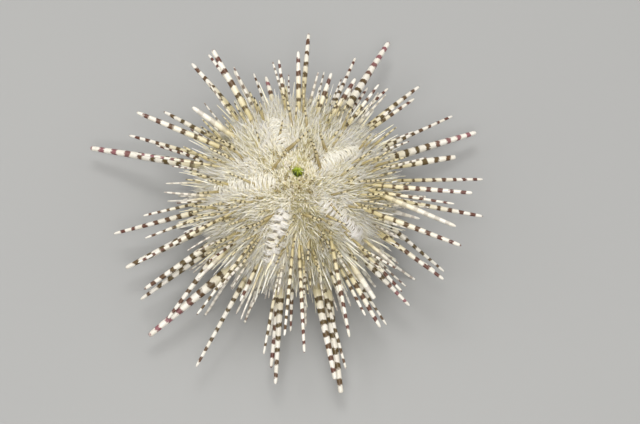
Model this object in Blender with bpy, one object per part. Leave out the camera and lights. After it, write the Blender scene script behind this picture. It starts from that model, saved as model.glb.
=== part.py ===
"""Sea urchin with banded spines, life size, standing on the tips of its under spines.

Metres, +Z up. The origin lies on the floor under the middle of the whole animal, spines included.
A bearing is in degrees about the shell's axis, from +X towards +Y. A latitude is in degrees
above the shell's widest girth, so that the crown is at +90 and the mouth at -90.
"""

import math

import bmesh
import bpy
import numpy as np

MM = 0.001
GAP = 0.3 * MM
GOLDEN_TURN = 137.508

# The shell, which is called the test
TEST_RADIUS = 22.0 * MM
GIRTH_HEIGHT = 17.0 * MM
CROWN_RISE = 16.0 * MM
BASE_DROP = 11.0 * MM
FULLNESS = 0.92
CORE_RADIUS = 3.0 * MM

# Ten sectors: five narrow ambulacra and five wide interambulacra between them
FIRST_AMBULACRUM = 35.0
RAY_STEP = 72.0
AMBULACRUM_HALF = 14.0
INTERAMBULACRUM_HALF = 22.0
OUTER_STEPS = 14
BEARING_STEP = 11.0

# The plates at the crown
APICAL_RADIUS = 5.0 * MM
APICAL_THICKNESS = 2.0 * MM
PERIPROCT_RADIUS = 2.4 * MM
PERIPROCT_RISE = 0.7 * MM
CROWN_SIDES = 30
GENITAL_PLATES = 5
GENITAL_RISE = 0.35 * MM

# The mouth's membrane and the tips of its five teeth
MOUTH_RADIUS = 7.0 * MM
GULLET_RADIUS = 2.2 * MM
MEMBRANE_THICKNESS = 1.4 * MM
MEMBRANE_SAG = 0.9 * MM
TOOTH_TIP_DROP = 1.3 * MM
TOOTH_LENGTH = 4.2 * MM
TOOTH_WIDTH = 1.5 * MM
TOOTH_TIP_WIDTH = 0.5 * MM

# The photograph's camera: its height above the horizon, its distance, what a pixel spans at that
# distance, the picture's middle, and the pixel where the middle of the girth is
CAMERA_ELEVATION = 68.0
CAMERA_DISTANCE = 420.0 * MM
PIXEL = 0.262 * MM
PICTURE_MIDDLE = (320.0, 212.0)
GIRTH_PIXEL = (296.0, 195.0)
SIGHT_START = 20.0 * MM
SIGHT_STEPS = 80

# Long spines as read off the photograph: the pixel of the tip, across and down, the width half way
# along in mm, and the tier that the spine stands in
GIRTH_TIPS = (
    (484.8, 216.3, 1.2, 1), (452.3, 204.4, 0.75, 3), (470.7, 191.8, 1.2, 3), (481.8, 178.5, 1.0, 1),
    (455, 157.5, 1.7, 1), (476.8, 133, 1.7, 0), (452, 115, 0.9, 2), (413.7, 131.9, 0.55, 1),
    (414.6, 98.4, 1.0, 1), (394, 108.5, 1.0, 1), (419, 85.7, 1.2, 1), (387.8, 88.4, 0.9, 1),
    (379.6, 82.1, 0.9, 3), (367.5, 87.5, 0.95, 0), (387.8, 41.5, 1.75, 2), (354.3, 79.3, 1.4, 3),
    (355.9, 57.3, 1.05, 2), (330.9, 73.7, 1.2, 3), (323, 71.9, 0.6, 2), (307.2, 33, 1.3, 1),
    (297.3, 51.2, 1.3, 3), (279.6, 60.4, 0.95, 3), (265.6, 76.3, 1.25, 1), (253.7, 73.7, 0.65, 0),
    (235.1, 71.1, 1.15, 1), (214.4, 50.1, 1.65, 3), (209.9, 54.2, 1.05, 1), (191.2, 64.5, 1.35, 1),
    (192.3, 107.5, 1.5, 3), (161.6, 111.5, 1.15, 1), (134.9, 110.9, 1.45, 3), (155.1, 143.4, 0.9, 0),
    (128.8, 134.7, 1.0, 1), (133.2, 153.0, 0.7, 3), (91.7, 149.5, 1.75, 2), (164.5, 183.8, 0.6, 1),
    (177.9, 202.6, 0.8, 1), (141.7, 214.5, 0.8, 1), (113.7, 232.3, 1.1, 2), (145.7, 238.5, 0.8, 1),
    (137.1, 261.7, 0.9, 3), (125, 268.6, 1.55, 0), (145, 288, 1.4, 2), (142.5, 298.8, 1.25, 0),
    (195.8, 279.4, 1.1, 1), (147, 335.3, 2.0, 0), (168, 320, 1.2, 2), (195.6, 315.6, 0.75, 3),
    (196.1, 365.2, 1.0, 2), (213.9, 335.7, 0.9, 0), (240.3, 300.5, 1.0, 1), (240, 318.8, 0.6, 1),
    (263.8, 355.7, 0.8, 1), (271.2, 366, 1.4, 0), (274.2, 383.8, 1.25, 2), (284.2, 334, 0.85, 3),
    (290.5, 330.2, 0.8, 2), (303.2, 353.5, 0.9, 3), (333.9, 380, 1.5, 2), (341.1, 393.6, 1.75, 0),
    (346.5, 368.1, 0.85, 2), (348, 336.1, 1.0, 3), (343.3, 303.5, 0.75, 1), (366.2, 315.8, 0.85, 1),
    (380, 327.7, 1.3, 1), (385.8, 325.3, 0.75, 0), (374.7, 299.5, 1.55, 1), (410, 307.9, 1.1, 0),
    (401.3, 291.4, 1.0, 1), (405, 285.6, 0.5, 0), (393.4, 264.8, 1.0, 1), (441.9, 278.9, 1.1, 1),
    (435.3, 270.6, 0.85, 1), (444.8, 271, 0.9, 0), (397.4, 237.3, 1.0, 1), (461, 245, 1.25, 3),
    (418.3, 217.9, 1.0, 2), (456.5, 226, 1.3, 3),
)
# The width half way along as a share of the root's, how much fuller the model's spines are than
# they look, and the narrowest and widest root in mm
MIDDLE_WIDTH = 0.85
FULLER = 1.2
ROOT_WIDTHS = (0.8, 2.7)
# How many degrees further round than its tip a root stands, by the spine's number in the table
ROOT_TURNS = {41: -7.0, 45: 11.0, 46: -9.0, 59: 7.0, 61: 18.0, 71: 4.0, 73: 12.0, 77: 14.0}
# Tiers of long spines: the root's latitude, the height in mm of a tip that reaches as far as the
# shell, and how much lower a tip is for each mm that it reaches further
GIRTH_TIERS = ((-9.0, 15.0, 0.27), (20.0, 22.5, 0.10), (-2.0, 16.6, 0.27), (50.0, 31.0, -0.10))
GIRTH_TAPER = 0.5

# Spines in rows up each sector: latitude, length, root radius and how far they splay downwards
UPPER_ROWS = (
    (22.0, 13.5 * MM, 0.48 * MM, 4.0),
    (33.0, 10.5 * MM, 0.44 * MM, 6.0),
    (44.0, 8.5 * MM, 0.40 * MM, 6.0),
)
UPPER_FINE_ROWS = (
    (17.0, 11.0 * MM, 0.34 * MM, 8.0),
    (38.5, 7.5 * MM, 0.30 * MM, 9.0),
)
UNDER_ROWS = (
    (-24.0, 13.0 * MM, 0.50 * MM, 0.0),
    (-36.0, 12.0 * MM, 0.55 * MM, 0.0),
    (-48.0, 11.0 * MM, 0.52 * MM, 0.0),
    (-60.0, 6.0 * MM, 0.45 * MM, 0.0),
)
UNDER_FINE_ROWS = (
    (-18.0, 11.0 * MM, 0.36 * MM, 0.0),
    (-30.0, 9.0 * MM, 0.38 * MM, 0.0),
    (-42.0, 7.0 * MM, 0.38 * MM, 0.0),
    (-54.0, 5.5 * MM, 0.36 * MM, 0.0),
)
# Share of the half width at which a row runs, in the wide sectors and in the narrow ones
UPPER_SERIES = (0.5, 0.85)
UPPER_FINE_SERIES = (0.12, 0.75)
UNDER_SERIES = (0.5, 0.5)
UNDER_FINE_SERIES = (0.08, 0.08)
STANDING_LATITUDES = (-36.0, -48.0)
UNDER_FLARE = 14.0
LEAN = 9.0
FLOOR_CLEARANCE = 0.8 * MM
# A row's two series stand half a step apart, and each spine is shifted a little its own way
ROW_SHIFT = 2.5
BEARING_SHIFT = 1.5
SIZE_SHIFT = 0.18
SPINE_TAPER = 0.55
ROOT_MARGIN = 1.45
# The first number of each set of spines, which gives each spine its own shifts
FIRST_INDEX = {"under": 100, "upper": 300, "coat": 600, "under_fine": 1100, "upper_fine": 1300}

# Spines round the crown as read off the photograph: the pixel of the root, then that of the tip
CROWN_PIXELS = (
    (263.5, 184.8, 240.9, 172.7), (257.7, 168.7, 226.6, 151.6), (262.1, 155.5, 228.4, 141.6),
    (270.9, 168.7, 288.0, 153.2), (281.2, 151.9, 306.2, 137.2), (277.6, 143.1, 284.4, 128.4),
    (293.7, 131.9, 289.3, 111.5), (308.4, 133.5, 303.2, 116.7), (326.7, 149.7, 315.7, 138.7),
    (318.6, 156.3, 307.3, 141.3), (321.6, 169.5, 309.8, 146.0), (277.6, 209.1, 259.9, 215.0),
    (298.1, 209.1, 317.2, 211.3), (320.1, 209.8, 337.0, 213.8), (326.5, 195.8, 333.3, 207.6),
    (270.9, 219.4, 257.7, 236.2), (253.3, 191.5, 222.5, 198.1), (254.0, 143.7, 232.7, 131.4),
    (268.0, 134.3, 251.1, 116.7), (335.5, 180.5, 367.8, 176.8), (345.8, 189.3, 372.0, 197.6),
    (323.8, 128.4, 329.6, 113.0), (309.1, 225.2, 304.7, 241.4), (262.1, 232.6, 244.5, 247.2),
)
CROWN_ROOT_RISE = 2.0 * MM
CROWN_TIP_RISE = 5.5 * MM
CROWN_EDGE_SHARE = 0.999
CROWN_TIP_LIFT = 6.5 * MM
CROWN_SPINE_RADIUS = 0.46 * MM

# The coat of short needles over the whole shell, shorter at the crown and the mouth, over a core that
# fills it less than half way
COAT_COUNT = 260
COAT_LENGTH = 4.3 * MM
COAT_REACH = 1.05
COAT_RADIUS = 0.36 * MM
COAT_TIP_RADIUS = 0.1 * MM
COAT_SIZE_SHIFT = 0.2
COAT_SPLAY = 8.0
COAT_LATITUDES = (-58.0, 76.0)
CROWN_SHARE = 0.36
MOUTH_SHARE = 0.55
COAT_GROWS_OVER = 9.0 * MM
CORE_SHARE = 0.44

# How deep a spine's root is sunk, how thick it is there, and where along it is thickest
ROOT_SINK = 1.6 * MM
ROOT_SHARE = 0.9
BELLY_SHARE = 0.14

# Points this far apart along a spine are tested against the others, and the swing and lift in degrees
# that are tried in turn
SAMPLE_STEP = 1.0 * MM
SAMPLE_MARGIN = 1.1
WALL_CLEARANCE = 0.8 * GAP
SPINE_CLEARANCE = 1.5 * GAP
TURNS = ((0, 0), (4, 0), (-4, 0), (0, 5), (0, -5), (8, 0), (-8, 0), (7, 6), (-7, 6), (12, 0), (-12, 0))


def clear_scene():
    for old in list(bpy.data.objects):
        bpy.data.objects.remove(old)


def vary(index, channel):
    """A fixed number from -1 to 1 for each spine and each of its traits."""
    turned = math.sin(index * 12.9898 + channel * 78.233) * 43758.5453
    return 2.0 * (turned - math.floor(turned)) - 1.0


def across(bearing):
    """Unit vector that points outwards along a bearing."""
    angle = math.radians(bearing)
    return np.array((math.cos(angle), math.sin(angle), 0.0))


def test_profile(latitude):
    """Distance from the axis and height of the shell at a latitude."""
    angle = math.radians(latitude)
    rise = CROWN_RISE if latitude > 0 else BASE_DROP
    out = TEST_RADIUS * math.cos(angle) ** FULLNESS
    up = math.copysign(abs(math.sin(angle)) ** FULLNESS, latitude) * rise
    return out, GIRTH_HEIGHT + up


def test_point(bearing, latitude):
    out, height = test_profile(latitude)
    return across(bearing) * out + np.array((0.0, 0.0, height))


def test_normal(bearing, latitude):
    """Outward normal, square to the profile a little above and below the point."""
    low_out, low_height = test_profile(latitude - 0.5)
    high_out, high_height = test_profile(latitude + 0.5)
    normal = across(bearing) * (high_height - low_height)
    normal[2] = low_out - high_out
    return normal / np.linalg.norm(normal)


def coat_length(latitude):
    """Length of the coat's needles, which grows from the crown and from the mouth outwards."""
    edge, share = (APICAL_RADIUS, CROWN_SHARE) if latitude > 0 else (MOUTH_RADIUS, MOUTH_SHARE)
    grown = min(1.0, max(0.0, test_profile(latitude)[0] - edge) / COAT_GROWS_OVER)
    return COAT_LENGTH * (share + (1.0 - share) * grown)


def core_profile(latitude):
    """Distance from the axis and height of the core's skin, raised from the shell along its normal."""
    out, height = test_profile(latitude)
    normal = test_normal(0.0, latitude)
    lift = CORE_SHARE * coat_length(latitude)
    return out + normal[0] * lift, height + normal[2] * lift


def latitude_where_out(radius, above):
    """Latitude at which the shell is this far from its axis."""
    angle = math.degrees(math.acos((radius / TEST_RADIUS) ** (1.0 / FULLNESS)))
    return angle if above else -angle


def sectors():
    """Name, middle bearing and half width of the ten sectors."""
    found = []
    for ray in range(5):
        middle = FIRST_AMBULACRUM + ray * RAY_STEP
        found.append({"name": f"ambulacrum_{ray + 1}", "middle": middle, "half": AMBULACRUM_HALF})
        found.append(
            {
                "name": f"interambulacrum_{ray + 1}",
                "middle": middle + RAY_STEP / 2,
                "half": INTERAMBULACRUM_HALF,
            }
        )
    return found


def bearing_gap(bearing, middle):
    """Signed difference of two bearings, from -180 to 180."""
    return (bearing - middle + 180.0) % 360.0 - 180.0


def sector_at(bearing):
    return next(s for s in sectors() if abs(bearing_gap(bearing, s["middle"])) <= s["half"])


def held_inside(sector, bearing, latitude, margin):
    """The bearing, moved just far enough that a root keeps its margin to both side walls."""
    out = test_profile(latitude)[0]
    room = sector["half"] - math.degrees(math.asin(min(1.0, margin / out)))
    offset = bearing_gap(bearing, sector["middle"])
    return sector["middle"] + max(-room, min(room, offset)) if room > 0 else None


def direction(bearing, elevation):
    angle = math.radians(elevation)
    return across(bearing) * math.cos(angle) + np.array((0.0, 0.0, math.sin(angle)))


def spine(sector, bearing, latitude, tip, root_radius, tip_radius, sides):
    return {
        "sector": sector,
        "root": test_point(bearing, latitude),
        "normal": test_normal(bearing, latitude),
        "tip": tip,
        "radii": (root_radius, tip_radius),
        "sides": sides,
        "flat": False,
    }


def place_seen(across_pixel, down_pixel, height_at):
    """Bearing in degrees and reach of the point that the photograph shows at a pixel.

    It is where the line of sight has the height that height_at gives for its reach, and each step
    goes half way to the reach that the last one asks for.
    """
    angle = math.radians(CAMERA_ELEVATION)
    back = np.array((0.0, -math.cos(angle), math.sin(angle)))
    right, up = np.array((1.0, 0.0, 0.0)), np.array((0.0, math.sin(angle), math.cos(angle)))
    off_girth = np.subtract(PICTURE_MIDDLE, GIRTH_PIXEL) * PIXEL
    off_middle = np.subtract((across_pixel, down_pixel), PICTURE_MIDDLE) * PIXEL
    camera = np.array((0.0, 0.0, GIRTH_HEIGHT)) + right * off_girth[0] - up * off_girth[1]
    camera = camera + back * CAMERA_DISTANCE
    sight = right * off_middle[0] - up * off_middle[1] - back * CAMERA_DISTANCE
    reach = SIGHT_START
    for _ in range(SIGHT_STEPS):
        point = camera + sight * (height_at(reach) - camera[2]) / sight[2]
        reach = (reach + math.hypot(point[0], point[1])) / 2
    return round(math.degrees(math.atan2(point[1], point[0]))) % 360, reach


def root_width(width):
    """Width of a long spine's root in mm, from the width that is seen half way along."""
    fuller = round(FULLER * round(width / MIDDLE_WIDTH, 1), 1)
    return min(max(fuller, ROOT_WIDTHS[0]), ROOT_WIDTHS[1])


def girth_spines():
    """The long banded spines, in four tiers, each aimed at its own tip."""
    made = []
    for index, (across_pixel, down_pixel, width, tier) in enumerate(GIRTH_TIPS):
        latitude, level, droop = GIRTH_TIERS[tier]

        def tip_height(reach):
            return level * MM - droop * (reach - TEST_RADIUS) + vary(index, 1) * MM

        bearing, reach = place_seen(across_pixel, down_pixel, tip_height)
        reach = round(reach / MM)
        radius = root_width(width) * MM / 2
        wanted = bearing + ROOT_TURNS.get(index, 0.0)
        sector = sector_at(wanted)
        root = held_inside(sector, wanted, latitude, ROOT_MARGIN * radius + GAP)
        height = level * MM - droop * (reach * MM - TEST_RADIUS) + vary(index, 1) * MM
        tip = across(bearing) * reach * MM + np.array((0.0, 0.0, height))
        made.append(spine(sector, root, latitude, tip, radius, GIRTH_TAPER * radius, 6))
    return made


def row_spines(rows, series, first_index):
    """Two rows of spines up each sector, one row half a step behind the other."""
    made = []
    index = first_index
    for sector in sectors():
        place = series[0] if sector["half"] == INTERAMBULACRUM_HALF else series[1]
        for side in (-1, 1):
            for latitude, length, radius, splay in rows:
                index += 1
                at = latitude + side * ROW_SHIFT
                wanted = sector["middle"] + side * place * sector["half"] + BEARING_SHIFT * vary(index, 2)
                root = held_inside(sector, wanted, at, ROOT_MARGIN * radius + GAP)
                if root is None:
                    continue
                size = length * (1.0 + SIZE_SHIFT * vary(index, 3))
                tip = test_point(root, at) + aimed(root, at, splay, index) * size
                made.append(spine(sector, root, at, tip, radius, SPINE_TAPER * radius, 4))
                made[-1]["flat"] = latitude in STANDING_LATITUDES
    return made


def place_on_crown(across_pixel, down_pixel, rise):
    """Bearing in degrees and reach in mm of a point that stands some way above the upper shell."""
    def height_above(reach):
        inside = min(reach, CROWN_EDGE_SHARE * TEST_RADIUS)
        return test_profile(latitude_where_out(inside, above=True))[1] + rise

    bearing, reach = place_seen(across_pixel, down_pixel, height_above)
    return bearing, round(reach / MM, 1)


def crown_spines():
    """Spines round the crown, each from its own root to a tip that stands above the shell."""
    made = []
    for row in CROWN_PIXELS:
        root_bearing, root_reach = place_on_crown(*row[:2], CROWN_ROOT_RISE)
        tip_bearing, tip_reach = place_on_crown(*row[2:], CROWN_TIP_RISE)
        latitude = latitude_where_out(root_reach * MM, above=True)
        tip_latitude = latitude_where_out(tip_reach * MM, above=True)
        sector = sector_at(root_bearing)
        root = held_inside(sector, root_bearing, latitude, ROOT_MARGIN * CROWN_SPINE_RADIUS + GAP)
        if root is None:
            continue
        tip = test_point(tip_bearing, tip_latitude)
        tip = tip + test_normal(tip_bearing, tip_latitude) * CROWN_TIP_LIFT
        radius = CROWN_SPINE_RADIUS
        made.append(spine(sector, root, latitude, tip, radius, SPINE_TAPER * radius, 4))
    return made


def aimed(bearing, latitude, splay, index):
    """Direction of a spine: the shell's normal, splayed, and leaned a little its own way."""
    normal = test_normal(bearing, latitude)
    elevation = math.degrees(math.asin(normal[2]))
    if latitude < 0:
        elevation += UNDER_FLARE
    turned = LEAN * vary(index, 4) * (1.0 + max(0.0, latitude) / 60.0)
    return direction(bearing + turned, elevation - splay + LEAN * vary(index, 5))


def coat_spines(first_index):
    """Short needles spread over the whole shell by the golden turn."""
    made = []
    low, high = (math.sin(math.radians(x)) for x in COAT_LATITUDES)
    for step in range(COAT_COUNT):
        latitude = math.degrees(math.asin(low + (high - low) * (step + 0.5) / COAT_COUNT))
        bearing = step * GOLDEN_TURN
        sector = sector_at(bearing)
        root = held_inside(sector, bearing, latitude, ROOT_MARGIN * COAT_RADIUS + GAP)
        if root is None:
            continue
        index = first_index + step
        size = COAT_REACH * coat_length(latitude) * (1.0 + COAT_SIZE_SHIFT * vary(index, 3))
        tip = test_point(root, latitude) + aimed(root, latitude, COAT_SPLAY, index) * size
        made.append(spine(sector, root, latitude, tip, COAT_RADIUS, COAT_TIP_RADIUS, 3))
    return made


def stood_on_floor(one):
    """A standing spine runs on to the floor, and every other one ends clear above it."""
    aim = one["tip"] - one["root"]
    if one["flat"]:
        one["tip"] = one["root"] + aim * (one["root"][2] / -aim[2])
    elif one["tip"][2] < FLOOR_CLEARANCE + one["radii"][1]:
        share = (one["root"][2] - FLOOR_CLEARANCE - one["radii"][1]) / -aim[2]
        one["tip"] = one["root"] + aim * share
    return one


def sampled(one):
    """Points along a spine, with its radius at each."""
    count = max(3, int(np.linalg.norm(one["tip"] - one["root"]) / SAMPLE_STEP) + 1)
    share = np.linspace(0.0, 1.0, count)[:, None]
    points = one["root"] + (one["tip"] - one["root"]) * share
    radii = one["radii"][0] * SAMPLE_MARGIN + (one["radii"][1] - one["radii"][0]) * share[:, 0]
    return points, radii


def turned(one, swing, lift):
    """The same spine with its direction swung sideways and lifted, in degrees."""
    aim = one["tip"] - one["root"]
    length = np.linalg.norm(aim)
    bearing = math.degrees(math.atan2(aim[1], aim[0])) + swing
    elevation = math.degrees(math.asin(aim[2] / length)) + lift
    return dict(one, tip=one["root"] + direction(bearing, elevation) * length)


def lift_above_shell(point):
    """Latitude of a point and its height above the shell, from the like profile that passes through it."""
    out, up = math.hypot(point[0], point[1]), point[2] - GIRTH_HEIGHT
    rise = CROWN_RISE if up > 0 else BASE_DROP
    run, climb = (out / TEST_RADIUS) ** (1.0 / FULLNESS), (abs(up) / rise) ** (1.0 / FULLNESS)
    latitude = math.copysign(math.degrees(math.atan2(climb, run)), up)
    scale = math.hypot(run, climb) ** FULLNESS
    return latitude, (1.0 - 1.0 / scale) * math.hypot(out, up)


def stays_over_own(one, points, radii):
    """Whether a spine keeps inside its sector's walls until it is clear above the cores."""
    sector = one["sector"]
    for point, radius in zip(points, radii):
        latitude, lift = lift_above_shell(point)
        if lift > CORE_SHARE * coat_length(latitude) + radius + GAP:
            continue
        out = math.hypot(point[0], point[1])
        bearing = math.degrees(math.atan2(point[1], point[0]))
        wall = math.radians(sector["half"] - abs(bearing_gap(bearing, sector["middle"]))) * out
        if wall < radius + WALL_CLEARANCE:
            return False
        if point[2] > GIRTH_HEIGHT and out < APICAL_RADIUS + radius + GAP:
            return False
    return True


def kept_clear(spines):
    """Swings a spine that would touch one of another sector or its core, and drops it if no swing helps."""
    kept = []
    points, radii, owners = np.zeros((0, 3)), np.zeros(0), np.zeros(0, int)
    for one in spines:
        owner = int(one["sector"]["middle"])
        for swing, lift in TURNS:
            tried = stood_on_floor(turned(one, swing, lift))
            own_points, own_radii = sampled(tried)
            if not stays_over_own(tried, own_points, own_radii):
                continue
            others = owners != owner
            apart = np.linalg.norm(own_points[:, None] - points[None, others], axis=2)
            free = apart - own_radii[:, None] - radii[None, others]
            if free.size == 0 or free.min() > SPINE_CLEARANCE:
                kept.append(tried)
                points = np.vstack((points, own_points))
                radii = np.concatenate((radii, own_radii))
                owners = np.concatenate((owners, np.full(len(own_points), owner)))
                break
    return kept


def ring_of(centre, axis, radius, sides):
    """Corners of a regular ring square to an axis."""
    side = np.cross(axis, (0.0, 0.0, 1.0))
    side = np.array((1.0, 0.0, 0.0)) if np.linalg.norm(side) < 1e-6 else side / np.linalg.norm(side)
    up = np.cross(side, axis)
    angles = np.arange(sides) * 2.0 * math.pi / sides
    return [centre + radius * (math.cos(a) * side + math.sin(a) * up) for a in angles]


def spine_object(one, number):
    """One tapered spine, its root sunk along the shell's normal so that it stays in its sector."""
    aim = one["tip"] - one["root"]
    length = np.linalg.norm(aim)
    axis = aim / length
    root_radius, tip_radius = one["radii"]
    down = np.array((0.0, 0.0, -1.0))
    sunk = one["root"] - one["normal"] * ROOT_SINK
    rings = [
        ring_of(sunk, one["normal"], ROOT_SHARE * root_radius, one["sides"]),
        ring_of(one["tip"], down if one["flat"] else axis, tip_radius, one["sides"]),
    ]
    if one["sides"] > 3:
        belly = one["root"] + aim * BELLY_SHARE
        rings.insert(1, ring_of(belly, axis, root_radius, one["sides"]))
    return closed_tube(f"spine_{number}", rings)


def closed_tube(name, rings):
    """A closed solid through rings of equal size, capped at both ends."""
    bm = bmesh.new()
    rows = [[bm.verts.new(tuple(p)) for p in ring] for ring in rings]
    for low, high in zip(rows, rows[1:]):
        for n in range(len(low)):
            m = (n + 1) % len(low)
            bm.faces.new((low[n], low[m], high[m], high[n]))
    bm.faces.new(list(reversed(rows[0])))
    bm.faces.new(rows[-1])
    bmesh.ops.triangulate(bm, faces=bm.faces)
    bmesh.ops.recalc_face_normals(bm, faces=bm.faces)
    return object_from(bm, name)


def object_from(bm, name):
    mesh = bpy.data.meshes.new(name)
    bm.to_mesh(mesh)
    bm.free()
    made = bpy.data.objects.new(name, mesh)
    bpy.context.scene.collection.objects.link(made)
    return made


def sector_outline():
    """Corners of a sector's section, as distance from the axis and height, outer skin first."""
    low = latitude_where_out(MOUTH_RADIUS + GAP / 2, above=False)
    high = latitude_where_out(APICAL_RADIUS + GAP / 2, above=True)
    skin = [core_profile(low + (high - low) * n / OUTER_STEPS) for n in range(OUTER_STEPS + 1)]
    skin[0] = (MOUTH_RADIUS + GAP / 2, skin[0][1])
    skin[-1] = (APICAL_RADIUS + GAP / 2, skin[-1][1])
    crown_ledge = test_profile(high)[1] - APICAL_THICKNESS - GAP
    mouth_ledge = test_profile(low)[1] + MEMBRANE_THICKNESS + GAP
    return skin + [
        (skin[-1][0], crown_ledge),
        (CORE_RADIUS, crown_ledge),
        (CORE_RADIUS, mouth_ledge),
        (skin[0][0], mouth_ledge),
    ]


def sector_shell(sector):
    """The section carried round the sector's bearings, half a gap short of both neighbours."""
    bm = bmesh.new()
    steps = max(2, round(2 * sector["half"] / BEARING_STEP))
    outline = sector_outline()
    fans = []
    for step in range(steps + 1):
        share = 2.0 * step / steps - 1.0
        fan = []
        for out, height in outline:
            trim = math.degrees(math.asin(GAP / 2 / out))
            point = across(sector["middle"] + share * (sector["half"] - trim)) * out
            fan.append(bm.verts.new((point[0], point[1], height)))
        fans.append(fan)
    count = len(outline)
    for near, far in zip(fans, fans[1:]):
        for n in range(count):
            m = (n + 1) % count
            bm.faces.new((near[n], far[n], far[m], near[m]))
    bm.faces.new(fans[0])
    bm.faces.new(list(reversed(fans[-1])))
    bmesh.ops.triangulate(bm, faces=bm.faces)
    bmesh.ops.recalc_face_normals(bm, faces=bm.faces)
    return object_from(bm, sector["name"])


def fuse(body, pieces):
    """Joins the pieces to the body in one union, then removes them."""
    group = bpy.data.collections.new("pieces")
    bpy.context.scene.collection.children.link(group)
    for piece in pieces:
        bpy.context.scene.collection.objects.unlink(piece)
        group.objects.link(piece)
    union = body.modifiers.new("union", "BOOLEAN")
    union.operation = "UNION"
    union.operand_type = "COLLECTION"
    union.collection = group
    union.solver = "MANIFOLD"
    graph = bpy.context.evaluated_depsgraph_get()
    joined = bpy.data.meshes.new_from_object(body.evaluated_get(graph))
    body.modifiers.clear()
    body.data = joined
    for piece in pieces:
        bpy.data.objects.remove(piece)
    bpy.data.collections.remove(group)


def keep_largest(body):
    """Keeps only the largest closed surface of a node."""
    bm = bmesh.new()
    bm.from_mesh(body.data)
    bmesh.ops.triangulate(bm, faces=bm.faces)
    left = set(bm.faces)
    islands = []
    while left:
        island, edge = set(), [left.pop()]
        while edge:
            face = edge.pop()
            island.add(face)
            near = {f for e in face.edges for f in e.link_faces} & left
            left -= near
            edge.extend(near)
        islands.append(island)
    largest = max(islands, key=len)
    bmesh.ops.delete(bm, geom=[f for f in bm.faces if f not in largest], context="FACES")
    loose = [v for v in bm.verts if not v.link_faces]
    bmesh.ops.delete(bm, geom=loose, context="VERTS")
    bm.to_mesh(body.data)
    bm.free()


def sector_node(sector, spines, look):
    """A sector of the shell with every spine that grows from it, as one closed body."""
    body = sector_shell(sector)
    if spines:
        fuse(body, [spine_object(one, n) for n, one in enumerate(spines)])
        keep_largest(body)
    body.data.materials.clear()
    body.data.materials.append(look)
    return body


def ring_plate(name, loops, look):
    """A turned plate. Each loop gives distance from the axis and height for every bearing."""
    bm = bmesh.new()
    bearings = [360.0 * n / CROWN_SIDES for n in range(CROWN_SIDES)]
    rows = []
    for loop in loops:
        points = [(across(b) * loop(b)[0], loop(b)[1]) for b in bearings]
        rows.append([bm.verts.new((p[0], p[1], height)) for p, height in points])
    for near, far in zip(rows, rows[1:] + rows[:1]):
        for n in range(CROWN_SIDES):
            m = (n + 1) % CROWN_SIDES
            bm.faces.new((near[n], near[m], far[m], far[n]))
    bmesh.ops.triangulate(bm, faces=bm.faces)
    bmesh.ops.recalc_face_normals(bm, faces=bm.faces)
    made = object_from(bm, name)
    made.data.materials.append(look)
    return made


def crown_height(radius):
    return test_profile(latitude_where_out(radius, above=True))[1]


def apical_disc(look):
    """The ring of genital plates round the vent, raised in five low lobes."""
    outer = APICAL_RADIUS - GAP / 2
    inner = PERIPROCT_RADIUS + GAP / 2
    base = crown_height(APICAL_RADIUS + GAP / 2) - APICAL_THICKNESS
    middle = (outer + inner) / 2

    def lobe(bearing):
        swell = math.cos(math.radians(GENITAL_PLATES * (bearing - FIRST_AMBULACRUM - RAY_STEP / 2)))
        return GENITAL_RISE * (0.5 + 0.5 * swell)

    loops = (
        lambda b: (outer, base),
        lambda b: (outer, crown_height(outer)),
        lambda b: (middle, crown_height(middle) + lobe(b)),
        lambda b: (inner, crown_height(inner)),
        lambda b: (inner, base),
    )
    return ring_plate("apical_disc", loops, look)


def domed_disc(name, radius, base, height, bulge, look):
    """A closed disc with a low dome, its top bulging upwards or, if negative, its base down."""
    bm = bmesh.new()
    levels = ((radius, 0.0), (0.72 * radius, 0.55), (0.38 * radius, 0.88))
    fans = []
    for out, share in levels:
        edge = height + bulge * share
        fans.append([across(360.0 * n / CROWN_SIDES) * out + (0, 0, edge) for n in range(CROWN_SIDES)])
    rows = [[bm.verts.new(tuple(p)) for p in fan] for fan in fans]
    floor = [bm.verts.new((v.co.x, v.co.y, base)) for v in rows[0]]
    rows.insert(0, floor)
    for near, far in zip(rows, rows[1:]):
        for n in range(CROWN_SIDES):
            m = (n + 1) % CROWN_SIDES
            bm.faces.new((near[n], near[m], far[m], far[n]))
    peak = bm.verts.new((0.0, 0.0, height + bulge))
    for n in range(CROWN_SIDES):
        bm.faces.new((rows[-1][n], rows[-1][(n + 1) % CROWN_SIDES], peak))
    bm.faces.new(list(reversed(floor)))
    bmesh.ops.triangulate(bm, faces=bm.faces)
    bmesh.ops.recalc_face_normals(bm, faces=bm.faces)
    made = object_from(bm, name)
    made.data.materials.append(look)
    return made


def periproct(look):
    """The vent's membrane, a low dome in the middle of the apical disc."""
    radius = PERIPROCT_RADIUS - GAP / 2
    rim = crown_height(PERIPROCT_RADIUS)
    return domed_disc("periproct", radius, rim - APICAL_THICKNESS, rim, PERIPROCT_RISE, look)


def mouth_edge_height():
    return test_profile(latitude_where_out(MOUTH_RADIUS, above=False))[1]


def peristome(look):
    """The mouth's membrane: a ring that sags towards the teeth."""
    outer = MOUTH_RADIUS - GAP / 2
    edge = mouth_edge_height()
    middle = (outer + GULLET_RADIUS) / 2
    loops = (
        lambda b: (outer, edge + MEMBRANE_THICKNESS),
        lambda b: (outer, edge),
        lambda b: (middle, edge - 0.8 * MEMBRANE_SAG),
        lambda b: (GULLET_RADIUS, edge - MEMBRANE_SAG),
        lambda b: (GULLET_RADIUS, edge + MEMBRANE_THICKNESS),
    )
    return ring_plate("peristome", loops, look)


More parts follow.
